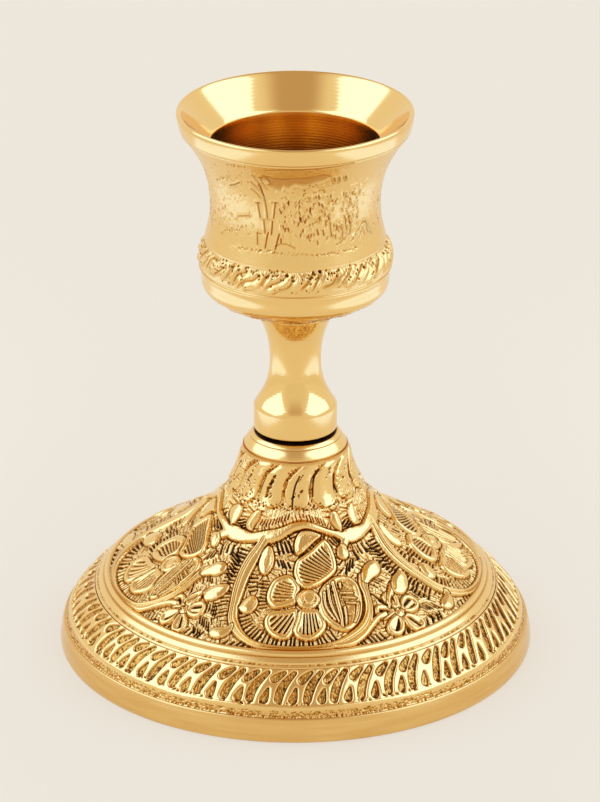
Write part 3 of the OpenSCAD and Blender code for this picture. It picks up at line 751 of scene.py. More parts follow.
def flute_sheet(place, low, high, seed):
    """A third of the fluted border with the stippled ring below it."""
    rng = np.random.default_rng(seed)
    unit = 360.0 / FLUTES
    period = unit * FLUTES_DRAWN
    sheet = Sheet(period, low, high, place, step=0.1, ground=0.0)
    sheet.polish[:] = 1.0
    shape = sheet.height.shape
    up = sheet.up[:, None]
    stipple = 0.3 * soft_noise(shape, (30, 260), rng) + 0.7 * soft_noise(shape, (80, 720), rng)
    ring = ease(up, 6.5, 6.9) * (1 - ease(up, 7.8, 9.2))
    sheet.height += ring * (0.07 * stipple - 0.07)
    sheet.ink_and_shade = np.maximum(sheet.ink_and_shade, ring * (0.03 + 0.2 * ease(-stipple, 0.1, 0.6)))
    sheet.polish *= 1 - 0.5 * ring
    edge_row = [(0.0, 6.9), (unit * 8.5, 6.85), (period, 6.9)]
    sheet.dots(edge_row, rng, pitch=0.66, half=0.19, depth=0.3, stray=0.2, dull=0.6)
    sheet.pits((0, period, 6.8, 8.3), rng, count=620, size=0.15, depth=0.16, limit=ANYWHERE, ink_and_shade=0.55)
    # Speckled dirt of the flute floors; each flute adds painted shade to it.
    speck = 0.55 * soft_noise(shape, (22, 760), rng) + 0.45 * soft_noise(shape, (72, 680), rng)
    floor = 0.14 * speck
    shade = 0.26 + 0.5 * ease(-speck, -0.05, 0.4)
    for k in range(FLUTES_DRAWN):
        d = -46.4 + unit * (k + rng.uniform(-0.05, 0.05)) + 360
        deep = rng.uniform(0.68, 0.85)
        bend = rng.uniform(-0.25, 0.25)
        rise = rng.uniform(-0.25, 0.25)
        flute(sheet, [(d - 0.1, 11.3, 1.06), (d + 0.5 + bend, 13.2, 1.12), (d + 1.7 + bend, 15.6, 1.04),
                      (d + 3.9, 18.2, 0.66)], deep, floor, shade)
        flute(sheet, [(d - 1.4, 16.3 + rise, 1.02), (d - 0.3, 17.2 + rise / 2, 0.98), (d + 1.2, 18.3, 0.6)],
              deep * rng.uniform(0.8, 1.1), floor, shade)
        flute(sheet, [(d + 3.5, 11.2, 1.12), (d + 3.9, 12.4, 0.86), (d + 4.35, 13.9 + rise, 0.36)],
              deep * rng.uniform(0.8, 1.1), floor, shade)
        sheet.pits((d - 2, d + 5, 10.2, 18.6), rng, count=22, size=0.24, depth=0.26, limit=0.5)
        sheet.pits((d - 2, d + 5, 9.9, 10.6), rng, count=4, size=0.28, depth=0.3, limit=ANYWHERE)
    sheet.height += 0.55 * blur(sheet.height, 3) * sheet.polish
    return sheet


def flute(sheet, points, depth, floor, shade):
    """One flute of varying width, with a rough floor darkened by speckled dirt and by painted shade on one
    side and along its walls.
    """
    path = spline(points)
    at, dist, place, side = sheet.along(path, path[:, 2].max() + 0.5)
    half = np.interp(place, np.arange(len(path)), path[:, 2])
    across = -dist * side / half
    cut = ease(half - dist, -0.1, 0.2)
    sunk = (floor[at] - depth * (0.85 + 0.15 * across)) * cut
    sheet.height[at] = np.minimum(sheet.height[at], sunk)
    sheet.polish[at] = np.minimum(sheet.polish[at], 1 - 0.85 * cut)
    # Painted shade: the floor darkens towards one side and in a band along the walls, over its speckled dirt.
    wall = cut * (1 - ease(half - dist, 0.16, 0.36))
    dark = shade[at] * (0.78 + 0.22 * across) + (0.5 + 0.25 * across) * wall
    sheet.darken(at, dark * cut)


TONGUES = 14
TONGUE_START = -11.5

# Marks on the front tongues from left to right: path from the tongue's middle, half width and depth;
# a half width below zero makes a cut line, one above zero a row of punch marks
TONGUE_MARKS = {
    -2: [([(-1.5, 67.4), (-1, 69.2), (1, 71.2), (4, 72.4)], 0.26, 0.32),
         ([(4, 68.4), (5.5, 68.6)], 0.16, 0.2)],
    -1: [([(-3, 65.6), (-2.6, 67.6), (0.5, 70.2), (4, 71.8)], 0.32, 0.4),
         ([(1.4, 65.8), (1.6, 67.2)], 0.24, 0.3), ([(-9.8, 66), (-9.6, 68.6), (-7, 71)], -0.16, 0.24)],
    0: [([(-3.6, 63.6), (-3.2, 66.5), (-1.4, 69.4), (3, 71.6)], -0.22, 0.3),
        ([(2.6, 66.2), (4.6, 68)], 0.24, 0.34), ([(-4.2, 65.8), (-1.2, 67.2)], 0.22, 0.3),
        ([(0.5, 70.5), (6, 71.6)], 0.24, 0.3)],
    1: [([(-10.4, 66.4), (-10, 69), (-7, 71.4), (-2, 73)], -0.2, 0.26),
        ([(4.5, 70.4), (7.6, 71.4), (11, 72.8)], 0.22, 0.28)],
    2: [([(-0.5, 68.6), (2.4, 69.2)], 0.28, 0.32), ([(6, 70.6), (9, 72)], 0.2, 0.26),
        ([(-11.2, 66), (-10.8, 68.4), (-8, 71)], -0.2, 0.28)],
}


def tongue_sheet(place, low, high, seed):
    """The leaning tongues round the neck of the base."""
    rng = np.random.default_rng(seed)
    unit = 360.0 / TONGUES
    sheet = Sheet(360.0, low, high, place, step=0.1, ground=-0.45)
    shape = sheet.height.shape
    sheet.height += 0.1 * soft_noise(shape, (34, 190), rng)
    sheet.pits((0, 360, low, 64.5), rng, count=420, size=0.26, depth=0.35)
    up = sheet.up[:, None]
    lean = np.interp(up, [62, 65, 67, 69, 70.5, 72, 73.4, 75], [2.5, 0.6, 0, 1.0, 3.0, 7.5, 14, 24])
    turn = sheet.deg[None, :] - TONGUE_START - lean
    across = (turn / unit) % 1.0
    which = ((turn // unit) % TONGUES).astype(int)
    shift = rng.uniform(-0.5, 0.5, TONGUES)[which]
    foot = 63.0 + shift * 0.7 + 3.4 * np.abs(2 * across - 1) ** 2.8
    mm = across * unit * sheet.scale[:, None]
    wide = unit * sheet.scale[:, None]
    wander = 0.14 * soft_noise(shape, (22, 150), rng)
    edge = np.minimum(mm, wide - mm) + wander
    body = ease(edge, 0.2, 0.55) * ease(up + wander, foot, foot + 0.45)
    fade = ease(up, 73.0, 74.9)
    body = body + (1 - body) * fade
    crown = (0.42 - 0.55 * np.abs(2 * across - 1) ** 2.4) * (1 - fade) + 0.04 * fade
    sheet.height = sheet.height * (1 - body) + crown * body
    sheet.polish = body.copy()
    seam = 0.4 * (1 - ease(edge, 0.05, 0.36)) * ease(up, foot - 0.3, foot + 0.6) * (1 - fade)
    sheet.ink_and_shade = np.maximum(sheet.ink_and_shade, seam)
    for k in range(-TONGUES // 2, TONGUES // 2):
        d = TONGUE_START + unit * (k + 0.5)
        marks = TONGUE_MARKS.get(k)
        if marks is None:
            marks = TONGUE_MARKS[int(rng.integers(-2, 3))]
        for path, half, depth in marks:
            spots = [(d + x + rng.uniform(-0.6, 0.6), y + rng.uniform(-0.15, 0.15)) for x, y in path]
            if half > 0:
                sheet.dots(spots, rng, pitch=0.5, half=half, depth=depth, stray=0.32)
            else:
                sheet.chase(spline(spots), -half, depth, dull=0.75)
        top = [(d - 8 + rng.uniform(-2, 2), 72.2), (d - 3, 73.3), (d + 3, 74.0)]
        sheet.dots(top, rng, pitch=0.7, half=0.2, depth=0.26, stray=0.3)
        side = d - unit / 2
        gap = [(side + 0.6, 64.8), (side, 67), (side + 1, 69), (side + 3, 70.5), (side + 7.5, 72),
               (side + 12, 73)]
        sheet.dots(gap, rng, pitch=0.5, half=0.15, depth=0.24, stray=0.14, dull=1.0)
    # Painted shade: a dark band along the top of the tongues, in the crease under the collar.
    sheet.ink_and_shade = np.maximum(sheet.ink_and_shade, 0.2 * ease(up, 73.9, 74.6))
    sheet.pits((-88, -42, 64.5, 74), rng, count=110, size=0.19, depth=0.22, limit=ANYWHERE, ink_and_shade=0.75)
    sheet.pits((40, 88, 62.6, 71), rng, count=130, size=0.18, depth=0.2, limit=ANYWHERE, ink_and_shade=0.5)
    sheet.pits((88, 272, 63, 74), rng, count=160, size=0.2, depth=0.22, limit=ANYWHERE, ink_and_shade=0.6)
    sheet.height += 0.012 * soft_noise(shape, (16, 90), rng)
    return sheet


# Marks on the front of the cup's wall, in degrees and mm up: cut lines, rows of punch marks, a hollow
CUP_STROKES = [
    [(-24.5, 126.3), (-23.5, 122.3)], [(-19.5, 127.8), (-18.3, 122.3)], [(-12.5, 126.8), (-14.3, 122.3)],
    [(-26, 126.2), (-22.6, 126.4)], [(-15, 126.8), (-11, 126.9)], [(-22, 122.0), (-16, 122.0)],
    [(-21, 121.7), (-20.4, 118.2)], [(-15, 121.7), (-16, 118.0)], [(-26, 118.2), (-23.6, 118)],
    [(-26, 118), (-25.4, 115)], [(-27, 130.3), (-24.5, 129.2), (-22, 127.8)], [(-26, 132.4), (-21.5, 130)],
    [(-23.5, 134.8), (-21, 132), (-19.5, 128.5)], [(-21.8, 131.8), (-19, 128.2)],
    [(-20, 134.2), (-17.5, 131.2)], [(-16.5, 134.8), (-14.5, 132.5)],
    [(-18.2, 118.6), (-19.2, 116.8), (-20, 114.4)], [(-10.5, 118.5), (-11.8, 116.6), (-13.2, 114.3)],
    [(-13, 115.2), (-9, 116), (-4, 115.7), (0, 114.9)], [(14.5, 119.5), (15.5, 118)],
    [(18.5, 119.2), (19.5, 117.6)], [(23.5, 121), (24.5, 117.4)], [(28, 120.1), (30, 118.2)],
    [(31.5, 119.9), (33, 117.6)], [(34.5, 121.5), (36, 118.7)], [(37.5, 121.2), (40, 118.4)],
    [(40, 115), (46, 117), (52.5, 118.7), (56, 117.6), (60, 114.8)], [(47, 115), (49.5, 116.5)],
    [(50, 117.4), (52.5, 115.2)], [(54.5, 117.5), (57, 115.4)], [(28, 115), (34, 115.9), (40, 117.3)],
    [(-41, 121.3), (-36, 121.8), (-31, 122.3)], [(-43, 129.5), (-38, 130.4), (-34, 131.4)],
    [(21.5, 134), (23, 132.6)], [(24.5, 134), (26, 132.4)], [(28.5, 134), (30, 132.8)],
]
CUP_DOTS = [
    [(31, 128.3), (36, 126.8), (40, 124), (42, 121)], [(36, 128.2), (41, 127), (45, 123.5), (45, 120.3)],
    [(31, 126), (34, 124), (37, 122), (39, 119.5)], [(-58, 115), (-52, 116.4), (-45, 117.3), (-35, 119)],
    [(-40, 113.2), (-25, 113.8), (0, 113.5), (20, 113), (44, 112.9)],
    [(-38, 136.8), (-32, 136.9), (-25, 136.8)], [(5, 130.4), (8, 131.6), (12, 132.4)],
    [(13.5, 130.2), (17, 130.2), (18.5, 129.2)], [(5.2, 130), (5.8, 128.2)],
    [(21, 126.2), (24, 126.8), (25.5, 125.6)], [(1, 125.8), (3.5, 126.3), (5.5, 127)],
    [(5, 123.6), (8, 125), (12, 125.6)], [(-8, 121.4), (-6, 123.2), (-2, 123.7)],
    [(10, 120.6), (13, 121.6), (16, 122.6)], [(-57, 129), (-50, 130.6), (-42, 132)],
    [(-64, 120.4), (-58, 121.2), (-52, 122.8)],
]
CUP_HOLLOW = [
    (-23, 134.6), (-19, 134.5), (-17, 135.4), (-11, 134.5), (-5, 134.6), (3, 134.9), (8, 135), (13, 135.6),
    (18, 135.4), (20, 134.4), (17, 133.1), (12, 132.6), (8, 131.9), (4, 131.7), (0, 132.2), (-4, 130.8),
    (-6.5, 131.5), (-8, 130), (-11, 130.4), (-13, 129.2), (-13, 130.7), (-16, 131.3), (-15.5, 132.8),
    (-19, 133.2),
]
CUP_LIP_LINE = [(-15, 137.0), (-5, 137.5), (10, 137.7), (30, 138.1)]

TWISTS_DRAWN = 21


def cup_sheet(place, low, high, seed):
    """Half of the cup's wall: the twisted leaf border and the lightly chased waist."""
    rng = np.random.default_rng(seed)
    sheet = Sheet(180.0, low, high, place, step=0.12, ground=0.0)
    sheet.polish[:] = 1.0
    shape = sheet.height.shape
    up = sheet.up[:, None]
    for path in CUP_STROKES:
        curve = path if len(path) == 2 else spline(path)
        sheet.chase(curve, rng.uniform(0.09, 0.13), rng.uniform(0.24, 0.34), dull=0.5, burr=0.2)
    for path in CUP_DOTS:
        sheet.dots(path, rng, pitch=0.62, half=0.16, depth=0.28, stray=0.3, dull=0.65)
    sheet.recess(CUP_HOLLOW, depth=0.3)
    sheet.chase(spline(CUP_LIP_LINE), half=0.16, depth=0.16, dull=0.35)
    scatter = rng.uniform(size=(150, 3)) * (56, 12.5, 1) + (-10, 115.5, 0)
    for d, u, pull in scatter:
        nick = [(d, u), (d + rng.uniform(-1.6, 1.6), u + 0.3 + 0.9 * pull)]
        sheet.chase(nick, 0.08 + 0.05 * pull, 0.16 + 0.14 * pull, 0.12 + 0.38 * pull, burr=0.16)
    sheet.pits((-62, -28, 115, 135), rng, count=60, size=0.2, depth=0.18, limit=ANYWHERE, ink_and_shade=0.4)
    sheet.pits((60, 112, 115, 135), rng, count=130, size=0.22, depth=0.2, limit=ANYWHERE, ink_and_shade=0.4)
    wall = ease(up, 111, 113) * (1 - ease(up, 137, 138))
    sheet.height += wall * (0.04 * soft_noise(shape, (9, 18), rng) + 0.02 * soft_noise(shape, (34, 70), rng)
                            + 0.02 * soft_noise(shape, (80, 170), rng))
    turn = (sheet.deg[None, :] + 90.0) % 180.0 - 90.0
    grove = ease(turn, -14, -6) * (1 - ease(turn, 46, 56)) + 0.5 * (1 - ease(turn, -40, -30))
    grove = grove * ease(up, 115, 117) * (1 - ease(up, 130, 132.5))
    clumps = 0.6 * soft_noise(shape, (26, 62), rng) + 0.4 * soft_noise(shape, (60, 150), rng)
    sheet.height += 0.13 * grove * ease(clumps, 0.08, 0.2)
    sheet.height += hump(up, 113.4, 0.5) * 0.1 * soft_noise(shape, (60, 110), rng)
    twist_border(sheet, rng)
    return sheet


def twist_border(sheet, rng):
    """Leaning leaf strokes round the foot of the cup's wall."""
    shape = sheet.height.shape
    up = sheet.up[:, None]
    unit = sheet.period / TWISTS_DRAWN
    wander = 4.2 * soft_noise(shape, (5, 23), rng)
    place = ((sheet.deg[None, :] - 2.3 * (up - 104.0) + wander) / unit) % 1.0
    facet = np.where(place < 0.7, place / 0.7, (1 - place) / 0.3)
    start = 104.0 + 1.0 * soft_noise(shape, (1, 60), rng)
    end = 108.4 + 0.7 * soft_noise(shape, (1, 42), rng)
    band = ease(up, start - 0.4, start + 0.9) * (1 - ease(up, end - 0.4, end + 0.5))
    strong = 0.85 + 0.4 * soft_noise(shape, (1, 34), rng)
    sheet.height += band * strong * (0.6 * ease(facet, 0.0, 0.9) - 0.28)
    valley = band * (1 - ease(facet, 0.06, 0.26))
    vein = band * hump(facet, 0.62, 0.05) * ease(soft_noise(shape, (3, 50), rng), 0.0, 0.4)
    sheet.height -= 0.14 * vein
    rough = ease(up, 106.4, 107.8) * (1 - ease(up, 108.9, 109.5))
    sheet.height += rough * 0.1 * soft_noise(shape, (60, 300), rng)
    sheet.ink_and_shade = np.maximum(sheet.ink_and_shade, (0.35 * valley + 0.25 * vein) * ease(up, 104.2, 106.0))
    sheet.polish *= (1 - 0.4 * valley) * (1 - 0.2 * rough)
    sheet.pits((0, 180, 107.2, 109.2), rng, count=120, size=0.24, depth=0.36, limit=ANYWHERE, ink_and_shade=0.9)
    sheet.pits((0, 180, 104.2, 107.2), rng, count=60, size=0.2, depth=0.3, limit=ANYWHERE, ink_and_shade=0.8)


# Finishes

def wire(tree, kind, inputs=None, **settings):
    """Adds a shader node; an input gets a value, or a link when it is given another node's output."""
    node = tree.nodes.new("ShaderNode" + kind)
    for name, value in settings.items():
        setattr(node, name, value)
    feed(tree, node, inputs or {})
    return node


def feed(tree, node, inputs):
    """Sets or links the inputs of a shader node."""
    for name, value in inputs.items():
        if isinstance(value, bpy.types.NodeSocket):
            tree.links.new(value, node.inputs[name])
        else:
            node.inputs[name].default_value = value


def reckon(tree, operation, *values, clamp=False):
    """Result of a sum on values or outputs."""
    node = wire(tree, "Math", dict(enumerate(values)), operation=operation, use_clamp=clamp)
    return node.outputs["Value"]


def ranged(tree, value, low, high, start=0.0, end=1.0, kind="LINEAR"):
    """A value that runs from start to end, mapped to run from low to high."""
    limits = {"From Min": start, "From Max": end, "To Min": low, "To Max": high}
    node = wire(tree, "MapRange", {"Value": value, **limits}, interpolation_type=kind)
    return node.outputs["Result"]


def ramp(tree, factor, stops, kind="LINEAR"):
    """Colour from a ramp; each stop is a position and a colour."""
    node = wire(tree, "ValToRGB", {"Fac": factor})
    node.color_ramp.interpolation = kind
    bands = node.color_ramp.elements
    for band, (position, colour) in zip(bands, (stops[0], stops[-1])):
        band.position, band.color = position, (*colour, 1.0)
    for position, colour in stops[1:-1]:
        bands.new(position).color = (*colour, 1.0)
    return node.outputs["Color"]


def noise(tree, where, scale, detail):
    """A noise between 0 and 1."""
    return wire(tree, "TexNoise", {"Scale": scale, "Detail": detail, "Vector": where}).outputs["Fac"]


def brass(name, settings, rough, dull_rough, lines=0.0, grit=0.35):
    """Golden brass; the patina and matte marks of a piece darken and dull its recesses, and also carry
    painted shade in a few creases and in the gap under the stem.
    """
    mat = bpy.data.materials.new(name)
    mat.use_nodes = True
    tree = mat.node_tree
    tree.nodes.clear()
    where = wire(tree, "TexCoord").outputs["Object"]
    patina_and_shade = wire(tree, "Attribute", attribute_name="patina_and_shade").outputs["Fac"]
    matte = wire(tree, "Attribute", attribute_name="matte").outputs["Fac"]
    cloud = noise(tree, where, 90.0, 5.0)

    stain_and_shade = reckon(tree, "MULTIPLY_ADD", patina_and_shade, reckon(tree, "MULTIPLY_ADD", cloud, 0.5, -0.25), patina_and_shade)
    dull = ranged(tree, matte, rough, dull_rough)
    worn = reckon(tree, "MULTIPLY_ADD", cloud, 0.1, dull)
    normal = wire(tree, "Bump", {
        "Distance": 0.00012, "Strength": ranged(tree, matte, 0.1 * grit, grit),
        "Height": noise(tree, where, 2600.0, 3.0)}).outputs["Normal"]
    if lines > 0.0:
        turning = wire(tree, "TexWave", {"Scale": 430.0, "Distortion": 0.4, "Detail": 1.5, "Vector": where},
                       wave_type="BANDS", bands_direction="Z")
        normal = wire(tree, "Bump", {
            "Distance": 0.00005, "Strength": ranged(tree, matte, lines, lines * 8.0),
            "Height": turning.outputs["Fac"], "Normal": normal}).outputs["Normal"]
    tones = [(0.0, settings.bright), (0.5, settings.amber), (1.0, settings.dark)]
    shade = wire(tree, "BsdfPrincipled", {
        "Base Color": ramp(tree, stain_and_shade, tones), "Metallic": ranged(tree, stain_and_shade, 1.0, 0.1, 0.45, 0.9),
        "Roughness": reckon(tree, "SUBTRACT", worn, 0.05, clamp=True), "Normal": normal,
        "Coat Weight": 0.1, "Coat Roughness": 0.08, "Specular IOR Level": 0.12})
    wire(tree, "OutputMaterial", {"Surface": shade.outputs["BSDF"]})
    return mat


def zinc_steel(name):
    """Zinc-plated steel of the rod and fasteners."""
    mat = bpy.data.materials.new(name)
    mat.use_nodes = True
    tree = mat.node_tree
    spangle = noise(tree, wire(tree, "TexCoord").outputs["Object"], 700.0, 4.0)
    tones = [(0.3, (0.42, 0.42, 0.40)), (0.7, (0.66, 0.66, 0.64))]
    feed(tree, tree.nodes["Principled BSDF"], {
        "Metallic": 1.0, "Base Color": ramp(tree, spangle, tones),
        "Roughness": ranged(tree, spangle, 0.22, 0.42)})
    return mat


def finish_piece(piece, material, body, slot, *nodes):
    """Gives a finished piece its material and the body it moves with; its slot is not used."""
    piece.data.materials.clear()
    piece.data.materials.append(material)
    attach(piece, body)
    if nodes:
        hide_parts(*nodes)


# Reliefs

def round_the_base(deg, up):
    """Degrees round the base turned into degrees of ornament: four repeats, drawn together at the back
    and, as on the real piece, a little off to the left of the front."""
    turn = (deg + 180.0) % 360.0 - 180.0
    low, high = 1 - ease(up, 44.0, 52.0), ease(up, 48.0, 56.0)
    drawn = np.interp(turn, [-125, -100, -75, -60, -52, -47, -38, -27], [0, 6, 13, 12, 6.5, 5.5, 3, 0])
    spread = 10.0 * ease(-turn, 48.0, 72.0) * (1 - ease(-turn, 88.0, 125.0))
    turn = turn - low * drawn + high * spread
    front, back = 95.0, 85.0
    far = np.abs(turn) - front
    pressed = front + far * (2 * SCROLL_PERIOD - front) / back
    return np.where(far > 0, np.sign(turn) * pressed, turn)


def relief_rings(place, sheet, ground, share, rings, warp=None, back=1.3):
    """Closed rings that carry a relief; each tucks under its neighbours at both ends."""
    stain_and_shade = np.clip(ground * (1 - sheet.polish) + DARKENING * sheet.ink_and_shade, 0.0, 1.0)
    tuck, tuck_depth = 0.3, 0.02
    pieces = []
    for name, low, high, rows, count in rings:
        skin = Turned()
        for up in (low - tuck, *np.linspace(low, high, rows), high + tuck):
            tucked = up < low or up > high
            around = np.degrees(turns(count))
            if warp:
                around = warp(around, up)
            height = sheet.sample(around, up, sheet.height) * share
            if tucked:
                height = height - tuck_depth
            skin.raised(place(up), height, count, sheet.sample(around, up, stain_and_shade),
                        1.0 - sheet.sample(around, up, sheet.polish))
            if tucked:
                skin.crease()
        for up in np.linspace(high, low, 5):
            skin.raised(place(up), -back, count // 2, *UNSEEN_AND_GAP_SHADE)
        skin.raised(place(low), 0.05 - back, count, *UNSEEN_AND_GAP_SHADE)
        skin.close()
        pieces.append(skin.build(name))
    return pieces


# Base casting

# Each relief: its sheet, the place it lies on, its lowest and highest place, patina of its ground, warp;
# its rings: name, lowest and highest place, rows, points in a row
BASE_RELIEFS = (
    (flute_sheet, on_border, 6.2, 19.5, 0.13, None,
     (("base_flutes_low", 6.7, 13.0, 38, 2000), ("base_flutes_high", 13.0, 19.0, 37, 2000))),
    (scroll_sheet, on_flank, 23.7, 63.0, 0.02, round_the_base,
     (("base_scrolls_1", 24.1, 33.5, 49, 1800), ("base_scrolls_2", 33.5, 43.0, 55, 1600),
      ("base_scrolls_3", 43.0, 53.0, 66, 1350), ("base_scrolls_4", 53.0, 62.6, 76, 1100))),
    (tongue_sheet, on_flank, 62.0, 75.4, 0.04, None, (("base_neck_tongues", 62.6, 74.8, 96, 900),)),
)


def ring_heights(up):
    """Mouldings between the flutes and the scrolls: dotted line, band, groove and bead."""
    band = 0.14 * ease(up, 20.25, 20.6) * (1 - ease(up, 21.7, 22.0))
    bead = 0.3 * np.sqrt(np.clip(1 - ((up - 23.1) / 0.72) ** 2, 0.0, 1.0))
    dotted = -0.26 * hump(up, DOTTED_UP, 0.16)
    groove = -0.4 * hump(up, 22.15, 0.17) - 0.35 * hump(up, 24.0, 0.18)
    return band + bead + dotted + groove


def base_body(settings):
    """The casting without its reliefs: foot band, mouldings, collar, spigot and hollow."""
    rng = np.random.default_rng(settings.seed)
    skin = Turned()
    foot = [(59.7, 0.0), (60.03, 0.14), (60.24, 0.55), (FOOT_R, FOOT_EDGE_Z)]
    band = [tuple(p) for p in bulged((FOOT_R, FOOT_EDGE_Z), (59.5, 5.7), 0.12, 12)[1:]]
    streaks = soft_noise((len(foot + band), BASE_RING), (9, 34), rng)
    for (r, z), streak in zip(foot + band, streaks):
        skin.ring(r, z, BASE_RING, 0.15 + 0.06 * streak, 0.14 + 0.06 * streak)
    skin.line([(59.4, 5.98), (59.2, 6.16), (58.98, BAND_H)], BASE_RING, 0.2, 0.3)
    for up in np.linspace(6.7, 18.9, 14):
        skin.raised(on_border(up), -1.2, BASE_RING, *UNSEEN_AND_GAP_SHADE)

    mouldings = resampled(np.array([(FLUTE_R, FLUTE_Z), (FIELD_R, FIELD_Z)]), 0.2)
    run, rise = FLUTE_R - FIELD_R, FIELD_Z - FLUTE_Z
    slope = np.array([rise, run]) / math.hypot(rise, run)
    punch = soft_noise((1, MOULDING_RING), (1, 420), rng)[0]
    for k, point in enumerate(mouldings):
        up = 19.2 + k * 4.88 / (len(mouldings) - 1)
        dotted = hump(up, DOTTED_UP, 0.2) * ease(punch, -0.1, 0.5)
        sunk = ease(-ring_heights(up), 0.1, 0.4)
        skin.raised((point, slope), ring_heights(up) - 0.22 * dotted, MOULDING_RING,
                    np.maximum(0.6 * sunk, 0.8 * dotted), 0.15 + 0.5 * dotted)

    skin.raised(on_flank(24.2), -0.9, BASE_RING, *UNSEEN_AND_GAP_SHADE)
    for up in np.linspace(25.0, 74.4, 24):
        skin.raised(on_flank(up), -1.9, INSIDE_RING, *UNSEEN_AND_GAP_SHADE)
    collar = bulged((NECK_R - 0.3, NECK_Z + 0.42), (SEAT_R + 0.85, SEAT_Z - 1.1), 0.07, 10)
    seat_edge = bulged((SEAT_R + 0.8, SEAT_Z - 0.85), (SEAT_R + 0.12, SEAT_Z - 0.15), 0.08, 6)
    wall = FLANK - 3.2 * outward(FLANK)
    hollow = resampled(wall[wall[:, 1] < WEB_Z][::-1], 1.1)
    top_r = hollow[0, 0]
    for profile, patina_and_shade, matte in (
            # The crease under the collar is painted darker: a painted shade.
            ([(NECK_R - 0.7, NECK_Z - 0.6), (NECK_R - 0.3, NECK_Z - 0.1)], 0.3, 0.4),
            ([(NECK_R - 0.36, NECK_Z + 0.12), (NECK_R - 0.36, NECK_Z + 0.3)], 0.34, 0.3),
            (collar, 0.0, 0.05),
            ([(SEAT_R + 0.7, SEAT_Z - 1.02), (SEAT_R + 0.68, SEAT_Z - 0.94)], 0.6, 0.4),
            (seat_edge, 0.0, 0.05),
            ([(SEAT_R, SEAT_Z - 0.06), (SEAT_R - 0.12, SEAT_Z)], 0.1, 0.2),
            # The seat under the stem and the spigot are painted all dark and dull: a painted shadow in the
            # gap between base and stem.
            ([(SEAT_R - 0.4, SEAT_Z), (9.5, SEAT_Z), (SPIGOT_R + 0.1, SEAT_Z)], *UNSEEN_AND_GAP_SHADE),
            ([(SPIGOT_R, SEAT_Z + 0.12), (SPIGOT_R, STEM_Z), (SPIGOT_R, SPIGOT_Z - 0.35),
              (SPIGOT_R - 0.3, SPIGOT_Z)], *UNSEEN_AND_GAP_SHADE),
            ([(5.5, SPIGOT_Z), (ROD_HOLE_R + 0.3, SPIGOT_Z), (ROD_HOLE_R, SPIGOT_Z - 0.3), (ROD_HOLE_R, 55.0),
              (ROD_HOLE_R, WEB_Z + 0.3), (ROD_HOLE_R + 0.3, WEB_Z)], 0.3, 0.5),
            ([(5.0, WEB_Z), (6.6, WEB_Z), (top_r - 0.5, WEB_Z)], 0.3, 0.6)):
        skin.line(profile, INSIDE_RING, patina_and_shade, matte)

    cells = (len(hollow), INSIDE_RING)
    rough = 0.2 * soft_noise(cells, (12, 40), rng) + 0.1 * soft_noise(cells, (36, 120), rng)
    fade = ease(hollow[:, 0], top_r, top_r + 3)
    for spot, bumps, hold in zip(zip(hollow, outward(hollow)), rough, fade):
        skin.raised(spot, bumps * hold, INSIDE_RING, 0.45, 1.0)
    land = FOOT_R - 0.6 - FOOT_RIM_W
    skin.line([(hollow[-1, 0] + 2.2, hollow[-1, 1] - 1.2), (land - 2.5, 6.3), (land - 0.5, 5.0), (land, 4.4)],
              INSIDE_RING, 0.45, 1.0)
    skin.line([(land, 0.5), (land + 0.12, 0.12), (land + 0.5, 0.0), (57.7, 0.0)], INSIDE_RING, 0.1, 0.25)
    skin.ring(59.4, 0.0, BASE_RING, 0.0, 0.2)
    skin.close()
    return skin.build("base_body")


# Candle cup

CUP_RELIEF_RINGS = (("cup_leaf_border", 103.5, 111.2, 46, 1200), ("cup_chased_waist", 111.2, 138.15, 92, 960))


def cup_profile():
    """Outside of the cup from its foot to the lip: foot, belly, line below the wall, wall."""
    z = CUP_Z
    band, rope = CUP_BAND_R, CUP_ROPE_R
    roll_z = z + 18.7
    waist = (CUP_WAIST_R, CUP_WAIST_Z)
    foot = np.vstack([[(10.2, z), (10.4, z + 0.35)], bulged((10.4, z + 0.4), (band - 1.6, z + 5.9), 0.3, 26)])
    belly = [(band - 0.9, z + 6.4), (band - 0.4, z + 7.1), (band - 0.08, z + 8.0), (band, z + 8.7),
             (band + 0.02, z + 9.6), (band, z + 10.3), (band + 0.25, z + 11.5), (rope - 0.05, z + 12.3)]
    line = [(rope - 0.25, z + 12.55), (rope - 0.35, z + 12.75), (rope - 0.2, z + 12.95)]
    roll = bulged((rope - 0.05, z + 13.2), (CUP_ROLL_R - 0.1, roll_z), 0.7, 22)
    low = bezier((CUP_ROLL_R, roll_z + 0.9), (CUP_ROLL_R - 0.95, roll_z + 4.7), (waist[0], waist[1] - 3.7),
                 waist, 30)
    high = bezier(waist, (waist[0] + 0.4, waist[1] + 7.8), (LIP_R - 5.3, LIP_Z - 6.8), (LIP_R, LIP_Z), 50)
    return foot, belly, line, np.vstack([roll, low, high[1:]])


